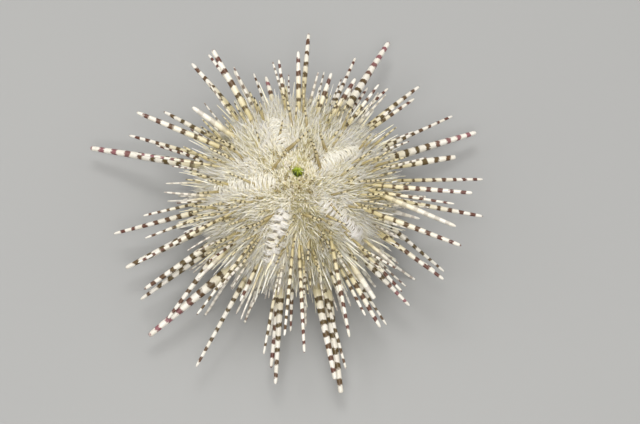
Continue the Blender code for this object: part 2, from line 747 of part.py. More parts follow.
def tooth(number, look):
    """One of five teeth that meet under the mouth, as far round as the interambulacra."""
    bearing = FIRST_AMBULACRUM + RAY_STEP * (number + 0.5)
    out, aside = across(bearing), across(bearing + 90.0)
    tip_height = mouth_edge_height() - MEMBRANE_SAG - TOOTH_TIP_DROP
    levels = (
        (GULLET_RADIUS - 1.5 * GAP, TOOTH_WIDTH, TOOTH_LENGTH),
        (0.8 * GULLET_RADIUS, 0.85 * TOOTH_WIDTH, 0.35 * TOOTH_LENGTH),
        (0.38 * GULLET_RADIUS, TOOTH_TIP_WIDTH, 0.0),
    )
    rings = []
    for reach, width, rise in levels:
        height = np.array((0.0, 0.0, tip_height + rise))
        back = out * reach + height
        keel = out * reach * 0.52 + height
        half = aside * width / 2
        rings.append([back - half, back + half, keel + 0.3 * half, keel - 0.3 * half])
    made = closed_tube(f"tooth_{number + 1}", rings)
    made.data.materials.append(look)
    return made


def materials():
    """Ivory shell and spines, olive crown plates, tan membranes and white teeth."""
    looks = {
        "shell": ("ivory_shell", (0.83, 0.80, 0.68), 0.55),
        "plate": ("crown_plates", (0.74, 0.70, 0.50), 0.50),
        "membrane": ("membrane", (0.55, 0.50, 0.34), 0.45),
        "tooth": ("tooth_white", (0.90, 0.88, 0.82), 0.30),
    }
    made = {}
    for key, (name, colour, roughness) in looks.items():
        look = bpy.data.materials.new(name)
        look.use_nodes = True
        shader = look.node_tree.nodes["Principled BSDF"]
        shader.inputs["Base Color"].default_value = (*colour, 1.0)
        shader.inputs["Roughness"].default_value = roughness
        shader.inputs["Metallic"].default_value = 0.0
        look.diffuse_color = (*colour, 1.0)
        made[key] = look
    return made


def centring(nodes):
    """Where the shell's axis stands, so that the origin is under the middle of the whole animal."""
    points = np.array([tuple(v.co) for node in nodes for v in node.data.vertices])
    middle = (points.min(axis=0) + points.max(axis=0)) / 2
    return (-middle[0], -middle[1], 0.0)


def main():
    clear_scene()
    stand = bpy.data.objects.new("urchin", None)
    bpy.context.scene.collection.objects.link(stand)
    looks = materials()
    girth = girth_spines()
    rows = row_spines(UNDER_ROWS, UNDER_SERIES, FIRST_INDEX["under"])
    rows += row_spines(UPPER_ROWS, UPPER_SERIES, FIRST_INDEX["upper"])
    fine = row_spines(UPPER_FINE_ROWS, UPPER_FINE_SERIES, FIRST_INDEX["upper_fine"])
    fine += row_spines(UNDER_FINE_ROWS, UNDER_FINE_SERIES, FIRST_INDEX["under_fine"])
    coat = coat_spines(FIRST_INDEX["coat"])
    spines = kept_clear(girth + rows + crown_spines() + fine + coat)
    nodes = []
    for sector in sectors():
        own = [one for one in spines if one["sector"]["name"] == sector["name"]]
        nodes.append(sector_node(sector, own, looks["shell"]))
    nodes.append(apical_disc(looks["plate"]))
    nodes.append(periproct(looks["membrane"]))
    nodes.append(peristome(looks["membrane"]))
    nodes.extend(tooth(number, looks["tooth"]) for number in range(5))
    for node in nodes:
        node.parent = stand
    stand.location = centring(nodes)


main()
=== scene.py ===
import math

import bpy
import numpy as np
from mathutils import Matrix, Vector


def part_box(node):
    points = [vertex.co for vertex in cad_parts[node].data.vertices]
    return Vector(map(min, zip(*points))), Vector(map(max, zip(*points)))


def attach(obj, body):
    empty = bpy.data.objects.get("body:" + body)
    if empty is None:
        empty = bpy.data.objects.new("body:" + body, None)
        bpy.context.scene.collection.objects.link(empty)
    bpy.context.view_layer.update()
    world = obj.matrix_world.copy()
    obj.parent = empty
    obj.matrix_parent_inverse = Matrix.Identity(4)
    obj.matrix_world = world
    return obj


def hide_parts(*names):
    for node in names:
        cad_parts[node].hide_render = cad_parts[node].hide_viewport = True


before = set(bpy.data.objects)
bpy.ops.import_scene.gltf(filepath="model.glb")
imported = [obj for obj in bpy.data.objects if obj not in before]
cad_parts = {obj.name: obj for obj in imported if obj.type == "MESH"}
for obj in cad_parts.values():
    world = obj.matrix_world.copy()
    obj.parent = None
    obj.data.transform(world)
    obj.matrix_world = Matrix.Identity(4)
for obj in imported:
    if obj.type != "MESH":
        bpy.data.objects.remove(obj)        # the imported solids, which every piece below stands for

mm = 0.001
goldenTurn = 137.508  # degrees from one place to the next where places are spread evenly round an axis
upAxis, xAxis = np.array((0.0, 0.0, 1.0)), np.array((1.0, 0.0, 0.0))
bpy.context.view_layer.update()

# The shell's axis goes through the middle of the vent's solid
ventLow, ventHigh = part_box("periproct")
axisPoint = np.array(((ventLow.x + ventHigh.x) / 2, (ventLow.y + ventHigh.y) / 2, 0.0))

# The shell and its ten sectors, in the sizes that the solids have
shell = {
    "radius": 22.0 * mm,
    "girthHeight": 17.0 * mm,
    "crownRise": 16.0 * mm,
    "baseDrop": 11.0 * mm,
    "fullness": 0.92,
    "firstRay": 35.0,  # bearing of the first ambulacrum, in degrees from +X towards +Y
    "rayStep": 72.0,
    "rayHalf": 14.0,
    "betweenHalf": 22.0,
    "crownEdge": 5.0 * mm,
    "ventEdge": 2.4 * mm,
    "mouthEdge": 7.0 * mm,
    "gullet": 2.2 * mm,
    "membraneSag": 0.9 * mm,
    "gap": 0.3 * mm,
}


# The photograph's view: how high above the horizon the camera is in degrees, its distance, what one pixel
# spans at that distance, the picture's size in pixels, and the pixel where the girth's middle is
view = {
    "elevation": 68.0,
    "distance": 0.42,
    "pixel": 0.262 * mm,
    "size": (640, 424),
    "girthAt": (296, 195),
    "firstReach": 20.0 * mm,
    "steps": 80,
}


# A fixed number from -1 to 1 for each index and trait: the broken part of a large sine
def vary(index, trait):
    turned = np.sin(index * 12.9898 + trait * 78.233) * 43758.5453
    return 2.0 * (turned - np.floor(turned)) - 1.0


def unit(vectors):
    return vectors / np.linalg.norm(vectors, axis=-1, keepdims=True)


# Degrees from a middle bearing to each bearing, from -180 to 180
def turnTo(bearing, middle):
    return (bearing - middle + 180.0) % 360.0 - 180.0


# 1 at no distance, falling to nothing as e to the power of minus the square of the distance over the width
def bell(distance, width=1.0):
    return np.exp(-((distance / width) ** 2))


# Unit vectors that point away from the axis along bearings in degrees
def outward(bearing):
    angle = np.radians(bearing)
    return np.stack((np.cos(angle), np.sin(angle), np.zeros_like(angle)), axis=-1)


# Unit vectors from a bearing and an elevation above the horizon
def aimAt(bearing, elevation):
    bearing, elevation = np.broadcast_arrays(bearing, elevation)
    angle = np.radians(elevation)
    return outward(bearing) * np.cos(angle)[..., None] + np.sin(angle)[..., None] * upAxis


# Distance from the axis and height at a latitude: the radius times a power of the latitude's cosine,
# and the rise or the drop times the same power of its sine
def profileAt(latitude):
    angle = np.radians(latitude)
    rise = np.where(latitude > 0, shell["crownRise"], shell["baseDrop"])
    out = shell["radius"] * np.cos(angle) ** shell["fullness"]
    up = np.sign(latitude) * np.abs(np.sin(angle)) ** shell["fullness"] * rise
    return out, shell["girthHeight"] + up


# Latitude at which the profile is this far from the axis, on the crown's or the mouth's side
def latitudeAt(radius, side):
    share = (np.asarray(radius) / shell["radius"]) ** (1.0 / shell["fullness"])
    return side * np.degrees(np.arccos(share))


# Height of the shell above its girth at a distance from the axis
def crownHeight(reach):
    return profileAt(latitudeAt(np.clip(reach, 0.0, 0.999 * shell["radius"]), 1))[1]


# The view's directions: back to the camera, to the picture's right and up it
def viewAxes():
    angle = math.radians(view["elevation"])
    back = np.array((0.0, -math.cos(angle), math.sin(angle)))
    return back, xAxis, np.array((0.0, math.sin(angle), math.cos(angle)))


# The point that the middle of the picture shows, in the plane of the girth's middle, from the shell's axis
def viewMiddle():
    _, right, up = viewAxes()
    across, down = (np.array(view["size"]) / 2 - view["girthAt"]) * view["pixel"]
    return upAxis * shell["girthHeight"] + right * across - up * down


# Bearings in whole degrees and reaches of the points that the photograph shows at pixels: each is where the
# line of sight has the height that heightAt gives for its reach, and each step goes half way to the reach
# that the last one asks for
def placeSeen(across, down, heightAt):
    back, right, up = viewAxes()
    camera = viewMiddle() + back * view["distance"]
    offAcross = (across - view["size"][0] / 2) * view["pixel"]
    offDown = (down - view["size"][1] / 2) * view["pixel"]
    sight = offAcross[:, None] * right - offDown[:, None] * up - view["distance"] * back
    reach = np.full(len(across), view["firstReach"])
    for _ in range(view["steps"]):
        point = camera + sight * ((heightAt(reach) - camera[2]) / sight[:, 2])[:, None]
        reach = (reach + np.hypot(point[:, 0], point[:, 1])) / 2
    return np.round(np.degrees(np.arctan2(point[:, 1], point[:, 0]))) % 360, reach


# Outward normal: the profile's slope between half a degree above and below, turned a quarter
def shellNormal(bearing, latitude):
    lowOut, lowHeight = profileAt(latitude - 0.5)
    highOut, highHeight = profileAt(latitude + 0.5)
    normal = outward(bearing) * (highHeight - lowHeight)[..., None]
    normal[..., 2] = lowOut - highOut
    return unit(normal)


# Degrees by which the shell's normal stands above the horizon
def normalRise(bearing, latitude):
    return np.degrees(np.arcsin(shellNormal(bearing, latitude)[:, 2]))


# Point of the shell at a bearing and a latitude, raised along the normal by the lift
def shellPoint(bearing, latitude, lift=0.0):
    bearing, latitude, lift = np.broadcast_arrays(bearing, latitude, lift)
    out, height = profileAt(latitude)
    point = outward(bearing) * out[..., None] + axisPoint
    point[..., 2] = height
    return point + shellNormal(bearing, latitude) * lift[..., None]


# Middle bearing, half width and kind of the sector that holds each bearing; kind is 1 in a ray
def sectorOf(bearing):
    turn = (bearing - shell["firstRay"] + shell["rayHalf"]) % shell["rayStep"]
    number = np.floor((bearing - shell["firstRay"] + shell["rayHalf"]) / shell["rayStep"])
    inRay = turn <= 2 * shell["rayHalf"]
    middle = shell["firstRay"] + number * shell["rayStep"] + np.where(inRay, 0.0, shell["rayStep"] / 2)
    return middle, np.where(inRay, shell["rayHalf"], shell["betweenHalf"]), inRay.astype(float)


# Signed degrees from the nearest ray's middle to each bearing
def fromRay(bearing):
    step = shell["rayStep"]
    return (bearing - shell["firstRay"] + step / 2) % step - step / 2


# The bare lanes of the five rays. The rays meet a little towards the camera from the axis
lanes = {
    "centre": np.array((0.0, -3.2 * mm, 0.0)),
    "spans": ((7.0, 19.6), (9.5, 19.6), (4.5, 20.8), (7.0, 19.5), (7.5, 20.2)),  # mm from there
    "halves": (1.30, 1.55, 1.45, 1.75, 1.95),  # mm
    "ending": 2.5 * mm,  # the length over which a lane narrows at both ends
}


# Bearing and distance from the place where the rays meet to points at a bearing and distance from the axis
def fromCentre(bearing, out):
    away = outward(bearing) * out[..., None] - lanes["centre"]
    return np.degrees(np.arctan2(away[..., 1], away[..., 0])), np.hypot(away[..., 0], away[..., 1])


# Half width of the bare lane of the nearest ray: whole in its middle, drawn to a point at both ends
def laneHalf(flow, away):
    number = np.round((flow - shell["firstRay"]) / shell["rayStep"]).astype(int) % 5
    first, last = np.array(lanes["spans"]).T[:, number] * mm
    room = np.clip(np.minimum(away - first, last - away) / lanes["ending"], 0.0, 1.0)
    return np.array(lanes["halves"])[number] * mm * room**0.5


# The bearing, moved just far enough that a root keeps its margin to both walls of its sector
def heldInside(bearing, latitude, margin):
    middle, half, _ = sectorOf(bearing)
    room = half - np.degrees(np.arcsin(np.minimum(1.0, margin / profileAt(latitude)[0])))
    offset = turnTo(bearing, middle)
    return middle + np.clip(offset, -room, room)


# Unwrap of the whole shell seen from the crown: the distance from the middle grows with the latitude's fall
def unwrapAt(bearing, latitude):
    reach = (90.0 - latitude) / 180.0 * 0.48
    return 0.5 + reach * np.cos(np.radians(bearing)), 0.5 + reach * np.sin(np.radians(bearing))


# Mesh from arrays of points, of corners and of face sizes, with corner UVs, point attributes and, where
# they are given, the normals that light falls on
def meshPiece(name, points, corners, faceSizes, look, uv=None, attributes=None, normals=None):
    mesh = bpy.data.meshes.new(name)
    mesh.vertices.add(len(points))
    mesh.vertices.foreach_set("co", np.ascontiguousarray(points, np.float32).ravel())
    mesh.loops.add(len(corners))
    mesh.loops.foreach_set("vertex_index", np.ascontiguousarray(corners, np.int32))
    mesh.polygons.add(len(faceSizes))
    starts = np.concatenate(((0,), np.cumsum(faceSizes)[:-1]))
    mesh.polygons.foreach_set("loop_start", starts.astype(np.int32))
    mesh.update(calc_edges=True)
    if uv is not None:
        layer = mesh.uv_layers.new(name="OFBake")
        layer.data.foreach_set("uv", np.ascontiguousarray(uv, np.float32).ravel())
    for key, values in (attributes or {}).items():
        trait = mesh.attributes.new(key, "FLOAT", "POINT")
        trait.data.foreach_set("value", values.astype(np.float32).ravel())
    mesh.shade_smooth()
    if normals is not None:
        mesh.normals_split_custom_set_from_vertices(normals)
    mesh.materials.append(look)
    piece = bpy.data.objects.new(name, mesh)
    bpy.context.scene.collection.objects.link(piece)
    return piece


# Unit vectors square to each aim: level ones, or square to the X axis where the aim is steep
def sidewaysOf(aim):
    steep = np.abs(aim[:, 2:]) > 0.9
    return unit(np.cross(np.where(steep, xAxis, upAxis), aim))


# Rods of round section: each ring stands square to its rod at a distance along it, and the rod bends
# by its bend times the square of the share of its length that lies behind
def rodPoints(rods, sides, ribs):
    root, aim, along, radius, bend = (rods[key] for key in ("root", "aim", "along", "radius", "bend"))
    total = along[:, -1:]
    share = np.clip(along / total, 0.0, 1.0)[..., None]
    centre = root[:, None] + aim[:, None] * along[..., None] + bend[:, None] * share**2
    heading = unit(aim[:, None] + 2.0 * share * bend[:, None] / total[..., None])
    side = sidewaysOf(aim)[:, None]
    side = unit(side - heading * np.sum(side * heading, axis=-1, keepdims=True))
    up = np.cross(heading, side)
    angle = np.arange(sides) * 2.0 * math.pi / sides
    spokes = np.cos(angle)[:, None] * side[:, :, None] + np.sin(angle)[:, None] * up[:, :, None]
    ridge = 1.0 + ribs * (1.0 - 2.0 * (np.arange(sides) % 2))
    return centre, centre[:, :, None] + spokes * (radius[..., None] * ridge)[..., None]


# One mesh of many rods. Each is a grid of rings and sides with a pole at both ends, so it is closed.
# Its patch of the UV map, one of so many columns, has the sides across and the distance along it upwards.
# Where it glows, its normals turn by that share towards the rod's own broad direction
def rodPiece(name, rods, look, values, columns, glow=0.0):
    sides, patches = values["sides"], stripPatches(len(rods["root"]), columns)
    centre, grid = rodPoints(rods, sides, values.get("ribs", 0.0))
    grid[..., 2] = np.maximum(grid[..., 2], 0.0)
    count, rings = rods["along"].shape
    points = np.concatenate((centre[:, :1], grid.reshape(count, rings * sides, 3), centre[:, -1:]), axis=1)
    points[..., 2] = np.maximum(points[..., 2], 0.0)
    side = np.arange(sides)
    after = (side + 1) % sides
    ring = np.arange(rings - 1)[:, None]
    quads = np.stack((1 + ring * sides + side, 1 + ring * sides + after,
                      1 + (ring + 1) * sides + after, 1 + (ring + 1) * sides + side), axis=-1).reshape(-1)
    last = 1 + (rings - 1) * sides
    rootFan = np.stack((1 + after, 1 + side, 0 * side), axis=-1).reshape(-1)
    tipFan = np.stack((last + side, last + after, 0 * side + 1 + rings * sides), axis=-1).reshape(-1)
    own = np.concatenate((quads, rootFan, tipFan))
    sizes = np.concatenate((np.full((rings - 1) * sides, 4), np.full(2 * sides, 3)))
    width = 2 + rings * sides
    corners = (np.arange(count)[:, None] * width + own).reshape(-1)
    # The same corners as ring and side numbers, where the last side is not wrapped round
    lower, higher = ring + 1 + 0 * side, ring + 2 + 0 * side
    ringAt = np.stack((lower, lower, higher, higher), axis=-1)
    sideAt = np.stack((side, side + 1, side + 1, side), axis=-1) + 0 * ring[..., None]
    fan = np.stack((0 * side + 1, 0 * side + 1, 0 * side), axis=-1)
    ringAt = np.concatenate((ringAt.reshape(-1), fan.reshape(-1), (fan + rings - 2 * fan + 1).reshape(-1)))
    rootSide = np.stack((side + 1, side, side + 0.5), axis=-1).reshape(-1)
    tipSide = np.stack((side, side + 1, side + 0.5), axis=-1).reshape(-1)
    sideAt = np.concatenate((sideAt.reshape(-1), rootSide, tipSide)) / sides
    alongAll = np.concatenate((rods["along"][:, :1], rods["along"], rods["along"][:, -1:]), axis=1)
    span = alongAll[:, -1:] - alongAll[:, :1]
    upward = 0.9 * (alongAll - alongAll[:, :1]) / span + 0.1 * np.arange(rings + 2) / (rings + 1)
    left, bottom, across, tall = (np.broadcast_to(value, (count,))[:, None] for value in patches)
    uv = np.stack((left + across * sideAt, bottom + tall * upward[:, ringAt]), axis=-1).reshape(-1, 2)
    attributes = {"along": spread(np.maximum(alongAll, 0.0) / mm, sides)}
    for key, trait in rods["traits"].items():
        attributes[key] = np.repeat(trait, width)
    normals = None
    if glow:
        aim = rods["aim"][:, None]
        own = np.concatenate((-aim, unit(points[:, 1:-1] - np.repeat(centre, sides, axis=1)), aim), axis=1)
        normals = unit(glow * rods["broad"][:, None] + (1.0 - glow) * own).reshape(-1, 3)
    points, sizes = points.reshape(-1, 3), np.tile(sizes, count)
    return meshPiece(name, points, corners, sizes, look, uv, attributes, normals)


# The direction in which a broad surface faces that stands between the shell and the sky
def broadAt(bearing, latitude, lift):
    normal = shellNormal(bearing, latitude)
    normal[..., 2] += lift
    return unit(normal)


# Values of each ring and of both poles, repeated round the sides in the order of the mesh's points
def spread(values, sides):
    inner = np.repeat(values[:, 1:-1], sides, axis=1)
    return np.concatenate((values[:, :1], inner, values[:, -1:]), axis=1)


# Patches of the UV map in rows and columns, one for each rod
def stripPatches(count, columns):
    rows = math.ceil(count / columns)
    number = np.arange(count)
    return (number % columns + 0.05) / columns, (number // columns + 0.02) / rows, 0.9 / columns, 0.96 / rows


# Rings of a shaft, by the taper, foot and steps in its values: a foot of fixed rings, an even run with the
# taper, then an end that is round where blunt is 1 and drawn out to a point where it is 0
def shaftRings(length, radius, blunt, values):
    length, radius, blunt = length[:, None], radius[:, None], np.broadcast_to(blunt, radius.shape)[:, None]
    footAlong, footFactor = np.array(values["foot"]).T
    footAlong = footAlong * mm * (radius / (0.6 * mm)) ** 0.5
    footRadius = radius * footFactor
    tip = radius * values["taper"]
    endLength = tip * (1.0 + 5.0 * (1.0 - blunt))
    share = np.linspace(0.03, 1.0, values["steps"])
    runStart = footAlong[:, -1:]
    runAlong = runStart + (length - endLength - runStart) * share
    runRadius = radius + (tip - radius) * share**1.2
    turn = np.radians(np.array((28.0, 56.0, 78.0)))
    endAlong = length - endLength + endLength * np.sin(turn)
    endRadius = tip * np.cos(turn) ** (0.6 + 0.6 * (1.0 - blunt))
    return (np.concatenate((footAlong, runAlong, endAlong), axis=1),
            np.concatenate((footRadius, runRadius, endRadius), axis=1))


# Surface from a grid of points: columns go round as bearings do, and rows go from the crown's side outwards
# and down. Its ends are closed by poles, or its last row joins its first. Its UV map is a disc, where the
# distance from the middle is the length along a column
def turnedPiece(name, grid, look, traits, poles=(False, False), joins=False):
    rows, columns = grid.shape[:2]
    loop = np.concatenate((grid, grid[:1])) if joins else grid
    step = np.linalg.norm(np.diff(loop, axis=0), axis=-1).mean(axis=1) + 1e-6
    reach = 0.01 + 0.48 * np.concatenate(((0.0,), np.cumsum(step))) / step.sum()
    row, column = np.meshgrid(np.arange(len(loop) - 1), np.arange(columns), indexing="ij")
    rowAt = np.stack((row, row + 1, row + 1, row), axis=-1).reshape(-1)
    columnAt = np.stack((column, column, column + 1, column + 1), axis=-1).reshape(-1)
    corners = (rowAt % rows) * columns + columnAt % columns
    sizes = np.full(row.size, 4)
    turn = columnAt * 2.0 * math.pi / columns
    uv = 0.5 + reach[rowAt][:, None] * np.stack((np.cos(turn), np.sin(turn)), axis=-1)
    points = grid.reshape(-1, 3)
    values = {key: each.reshape(-1) for key, each in traits.items()}
    side = np.arange(columns)
    for end, wanted in enumerate(poles):
        if not wanted:
            continue
        first = 0 if end == 0 else (rows - 1) * columns
        pole = np.full(columns, len(points))
        fan = (pole, first + side, first + (side + 1) % columns)
        fan = np.stack(fan if end == 0 else (fan[0], fan[2], fan[1]), axis=-1)
        corners = np.concatenate((corners, fan.reshape(-1)))
        sizes = np.concatenate((sizes, np.full(columns, 3)))
        points = np.concatenate((points, grid[0 if end == 0 else -1].mean(axis=0)[None]))
        # The first pole is the middle of the disc; the last one is spread round its brim
        turn = np.stack((side + 0.5, side, side + 1) if end == 0 else (side + 0.5, side + 1, side), axis=-1)
        turn = turn.reshape(-1) * 2.0 * math.pi / columns
        inner, outer = (0.0, reach[0]) if end == 0 else (0.499, reach[-1])
        away = np.tile((inner, outer, outer), columns)[:, None]
        uv = np.concatenate((uv, 0.5 + away * np.stack((np.cos(turn), np.sin(turn)), axis=-1)))
        edge = 0 if end == 0 else -1
        values = {key: np.append(each, traits[key][edge].mean()) for key, each in values.items()}
    return meshPiece(name, points, corners, sizes, look, uv, values)


print("stage: frame loaded, shell axis at", np.round(axisPoint / mm, 3), "mm")


# Adds a node to a tree, sets its own settings, and fills or wires its inputs by name or number
def addNode(tree, kind, inputs=None, **settings):
    node = tree.nodes.new(kind)
    for key, value in settings.items():
        setattr(node, key, value)
    for key, value in (inputs or {}).items():
        if isinstance(value, bpy.types.NodeSocket):
            tree.links.new(value, node.inputs[key])
        else:
            node.inputs[key].default_value = value
    return node


def maths(tree, operation, first, second=0.0, third=0.0):
    return addNode(tree, "ShaderNodeMath", {0: first, 1: second, 2: third}, operation=operation).outputs[0]


# Rises smoothly from 0 to 1 while the value goes from low to high
def ramp(tree, value, low, high):
    inputs = {"Value": value, "From Min": low, "From Max": high}
    return addNode(tree, "ShaderNodeMapRange", inputs, interpolation_type="SMOOTHSTEP").outputs[0]


def mixed(tree, factor, first, second):
    return addNode(tree, "ShaderNodeMix", {0: factor, 6: first, 7: second}, data_type="RGBA").outputs[2]


def traitOf(tree, name):
    return addNode(tree, "ShaderNodeAttribute", attribute_name=name).outputs["Fac"]


def noiseAt(tree, place, scale, detail=2.0):
    inputs = {"Vector": place, "Scale": scale, "Detail": detail, "Roughness": 0.55}
    return addNode(tree, "ShaderNodeTexNoise", inputs).outputs["Fac"]


def objectPlace(tree):
    return addNode(tree, "ShaderNodeTexCoord").outputs["Object"]


# Node group with named inputs, given as name and starting value, and named float outputs
def newGroup(name, inputs, outputs):
    tree = bpy.data.node_groups.new(name, "ShaderNodeTree")
    for label, value in inputs:
        socket = tree.interface.new_socket(name=label, in_out="INPUT", socket_type="NodeSocketFloat")
        socket.default_value = value
    for label in outputs:
        tree.interface.new_socket(name=label, in_out="OUTPUT", socket_type="NodeSocketFloat")
    return tree, tree.nodes.new("NodeGroupInput").outputs, tree.nodes.new("NodeGroupOutput").inputs


# Grain of the calcite: a broad noise, and a height made of it and a fine one
def grainGroup():
    tree, given, put = newGroup("calciteGrain", (("Scale", 1500.0),), ("Broad", "Height"))
    place = objectPlace(tree)
    fine = noiseAt(tree, place, given["Scale"], 3.0)
    broad = noiseAt(tree, place, maths(tree, "MULTIPLY", given["Scale"], 0.14))
    tree.links.new(broad, put["Broad"])
    tree.links.new(maths(tree, "MULTIPLY_ADD", broad, 0.6, fine), put["Height"])
    return tree


# Rings of dark colour round a rod: the distance along it over the pitch, shaken by noise, is folded to
# 0 in the middle of a ring and 1 half way to the next, and the ring is where that is under its share,
# which is a third as much at the foot and whole where the spine leaves the coat
def ringsGroup():
    inputs = (("Share", 0.33), ("Softness", 0.10), ("Wobble", 0.35), ("Blotch", 0.5), ("From", 0.2))
    tree, given, put = newGroup("bandRings", inputs, ("Mask", "Along"))
    along = traitOf(tree, "along")
    noise = noiseAt(tree, objectPlace(tree), 700.0)
    turn = maths(tree, "DIVIDE", along, traitOf(tree, "pitch"))
    turn = maths(tree, "ADD", turn, traitOf(tree, "phase"))
    turn = maths(tree, "MULTIPLY_ADD", maths(tree, "SUBTRACT", noise, 0.5), given["Wobble"], turn)
    fold = maths(tree, "PINGPONG", turn, 0.5)
    fold = maths(tree, "MULTIPLY", fold, 2.0)
    blotch = maths(tree, "SUBTRACT", noiseAt(tree, objectPlace(tree), 1300.0), 0.5)
    fold = maths(tree, "MULTIPLY_ADD", blotch, given["Blotch"], fold)
    share = maths(tree, "DIVIDE", along, traitOf(tree, "reach"))
    grown = maths(tree, "MULTIPLY_ADD", ramp(tree, share, 0.0, traitOf(tree, "coated")), 0.7, 0.3)
    wide = maths(tree, "MULTIPLY", given["Share"], grown)
    low = maths(tree, "SUBTRACT", wide, given["Softness"])
    high = maths(tree, "ADD", wide, given["Softness"])
    ring = maths(tree, "SUBTRACT", 1.0, ramp(tree, fold, low, high))
    begun = ramp(tree, share, given["From"], maths(tree, "ADD", given["From"], 0.12))
    mask = maths(tree, "MULTIPLY", maths(tree, "MULTIPLY", ring, begun), traitOf(tree, "banding"))
    tree.links.new(mask, put["Mask"])
    tree.links.new(share, put["Along"])
    return tree


# Soft patches of olive film, and on the needles of painted lilac glints: a noise cut off below its middle
def stainAndGlintGroup():
    tree, given, put = newGroup("stainAndGlintPatches", (("Scale", 180.0), ("Amount", 0.5)), ("Mask",))
    patches = ramp(tree, noiseAt(tree, objectPlace(tree), given["Scale"]), 0.42, 0.68)
    tree.links.new(maths(tree, "MULTIPLY", patches, given["Amount"]), put["Mask"])
    return tree


grain, rings, stainAndGlint = grainGroup(), ringsGroup(), stainAndGlintGroup()


def groupIn(tree, group, **values):
    node = addNode(tree, "ShaderNodeGroup", node_tree=group)
    for key, value in values.items():
        node.inputs[key].default_value = value
    return node.outputs


# Wires a colour to a material's shader and, where a height is given, its bump to the normal
def finished(look, colour, height=None, strength=0.3, depth=0.0001):
    tree, put = look.node_tree, look.node_tree.nodes["Principled BSDF"].inputs
    tree.links.new(colour, put["Base Color"])
    if height is not None:
        inputs = {"Height": height, "Strength": strength, "Distance": depth}
        tree.links.new(addNode(tree, "ShaderNodeBump", inputs).outputs["Normal"], put["Normal"])
    return look


# A new material and its node tree, with the values that are the same all over the surface
def newLook(name, roughness, **steady):
    look = bpy.data.materials.new(name)
    look.use_nodes = True
    shader = look.node_tree.nodes["Principled BSDF"]
    shader.inputs["Roughness"].default_value = roughness
    for key, value in steady.items():
        shader.inputs[key.replace("_", " ")].default_value = value
    return look, look.node_tree


# Colours, as linear red, green, blue
colours = {
    "bright": (0.945, 0.89, 0.745, 1.0),
    "white": (0.88, 0.85, 0.72, 1.0),
    "ivory": (0.82, 0.72, 0.45, 1.0),
    "chalk": (0.89, 0.845, 0.755, 1.0),
    "beige": (0.50, 0.415, 0.19, 1.0),
    "lilac": (0.86, 0.81, 0.83, 1.0),
    # Straw is painted shade at the feet of the coat's needles
    "strawShade": (0.51, 0.42, 0.15, 1.0),
    "tan": (0.31, 0.235, 0.09, 1.0),
    "olive": (0.105, 0.068, 0.018, 1.0),
    "darkOlive": (0.065, 0.047, 0.013, 1.0),
    "maroon": (0.125, 0.040, 0.026, 1.0),
    "rose": (0.32, 0.12, 0.14, 1.0),
    "slit": (0.16, 0.12, 0.12, 1.0),
    "green": (0.27, 0.34, 0.012, 1.0),
    # Shaded green is painted shade, on the vent's side towards the camera
    "shadedGreen": (0.030, 0.050, 0.003, 1.0),
    "lime": (0.55, 0.56, 0.20, 1.0),
    "skinTan": (0.40, 0.31, 0.17, 1.0),
    "floor": (0.37, 0.37, 0.365, 1.0),
    "paleFloor": (0.40, 0.40, 0.39, 1.0),
}


# Skin of the shell: ivory, white in the rays, olive in patches, dark in the pits and sutures, and darker in
# the sunken lanes as darker skin and painted shade
def shellLook():
    look, tree = newLook("shellCalcite", 0.6)
    speck = groupIn(tree, grain, Scale=1400.0)
    filmAndGlint = groupIn(tree, stainAndGlint, Scale=160.0, Amount=0.6)
    colour = mixed(tree, filmAndGlint["Mask"], colours["white"], colours["ivory"])
    colour = mixed(tree, traitOf(tree, "ray"), colour, colours["bright"])
    colour = mixed(tree, maths(tree, "MULTIPLY", traitOf(tree, "pitAndShade"), 0.5), colour, colours["slit"])
    return finished(look, colour, speck["Height"], 0.5, 0.00015)


# Short needles: straw at the foot, which is painted shade between the needles near the skin, cream above and
# bright towards the tip, or olive beige by their own tone, with a trace of lilac in soft patches, which are
# painted glints
def needleLook():
    look, tree = newLook("needleWhite", 0.45, Subsurface_Weight=0.5, Subsurface_Scale=0.0008,
                         Subsurface_Radius=(1.0, 0.85, 0.6))
    filmAndGlint = groupIn(tree, stainAndGlint, Scale=260.0, Amount=1.0)
    # The straw foot is painted shade, where shade falls between the needles near the skin
    foot = mixed(tree, ramp(tree, traitOf(tree, "rise"), 0.05, 0.5), colours["strawShade"], colours["ivory"])
    foot = mixed(tree, ramp(tree, traitOf(tree, "rise"), 0.4, 0.95), foot, colours["bright"])
    # The lilac patches are painted glints on the needles
    colour = mixed(tree, maths(tree, "MULTIPLY", filmAndGlint["Mask"], 0.25), foot, colours["lilac"])
    colour = mixed(tree, ramp(tree, traitOf(tree, "tone"), 0.1, 0.9), colour, colours["beige"])
    colour = mixed(tree, ramp(tree, traitOf(tree, "tone"), 0.95, 1.5), colour, colours["tan"])
    return finished(look, colour)


# Banded spines: ivory with rings that turn from olive near the foot to maroon near the tip
def bandedLook():
    look, tree = newLook("bandedSpine", 0.38)
    ring = groupIn(tree, rings, Share=0.40, Softness=0.14, Wobble=0.35, Blotch=0.8, From=0.10)
    speck = groupIn(tree, grain, Scale=1800.0)
    warmth = maths(tree, "ADD", ring["Along"], traitOf(tree, "warmth"))
    dark = mixed(tree, ramp(tree, warmth, 0.45, 1.15), colours["olive"], colours["maroon"])
    outer = maths(tree, "MULTIPLY", traitOf(tree, "rosy"), ramp(tree, ring["Along"], 0.45, 0.85))
    dark = mixed(tree, maths(tree, "MULTIPLY", outer, 0.8), dark, colours["rose"])
    coated = traitOf(tree, "coated")
    body = mixed(tree, ramp(tree, ring["Along"], 0.0, coated), colours["beige"], colours["ivory"])
    paler = ramp(tree, ring["Along"], maths(tree, "MULTIPLY", coated, 0.4), maths(tree, "ADD", coated, 0.22))
    body = mixed(tree, paler, body, colours["chalk"])
    worn = maths(tree, "MULTIPLY", ramp(tree, speck["Broad"], 0.4, 0.7), 0.20)
    body = mixed(tree, worn, body, colours["beige"])
    colour = mixed(tree, ring["Mask"], body, dark)
    return finished(look, colour, speck["Height"], 0.3, 0.0001)


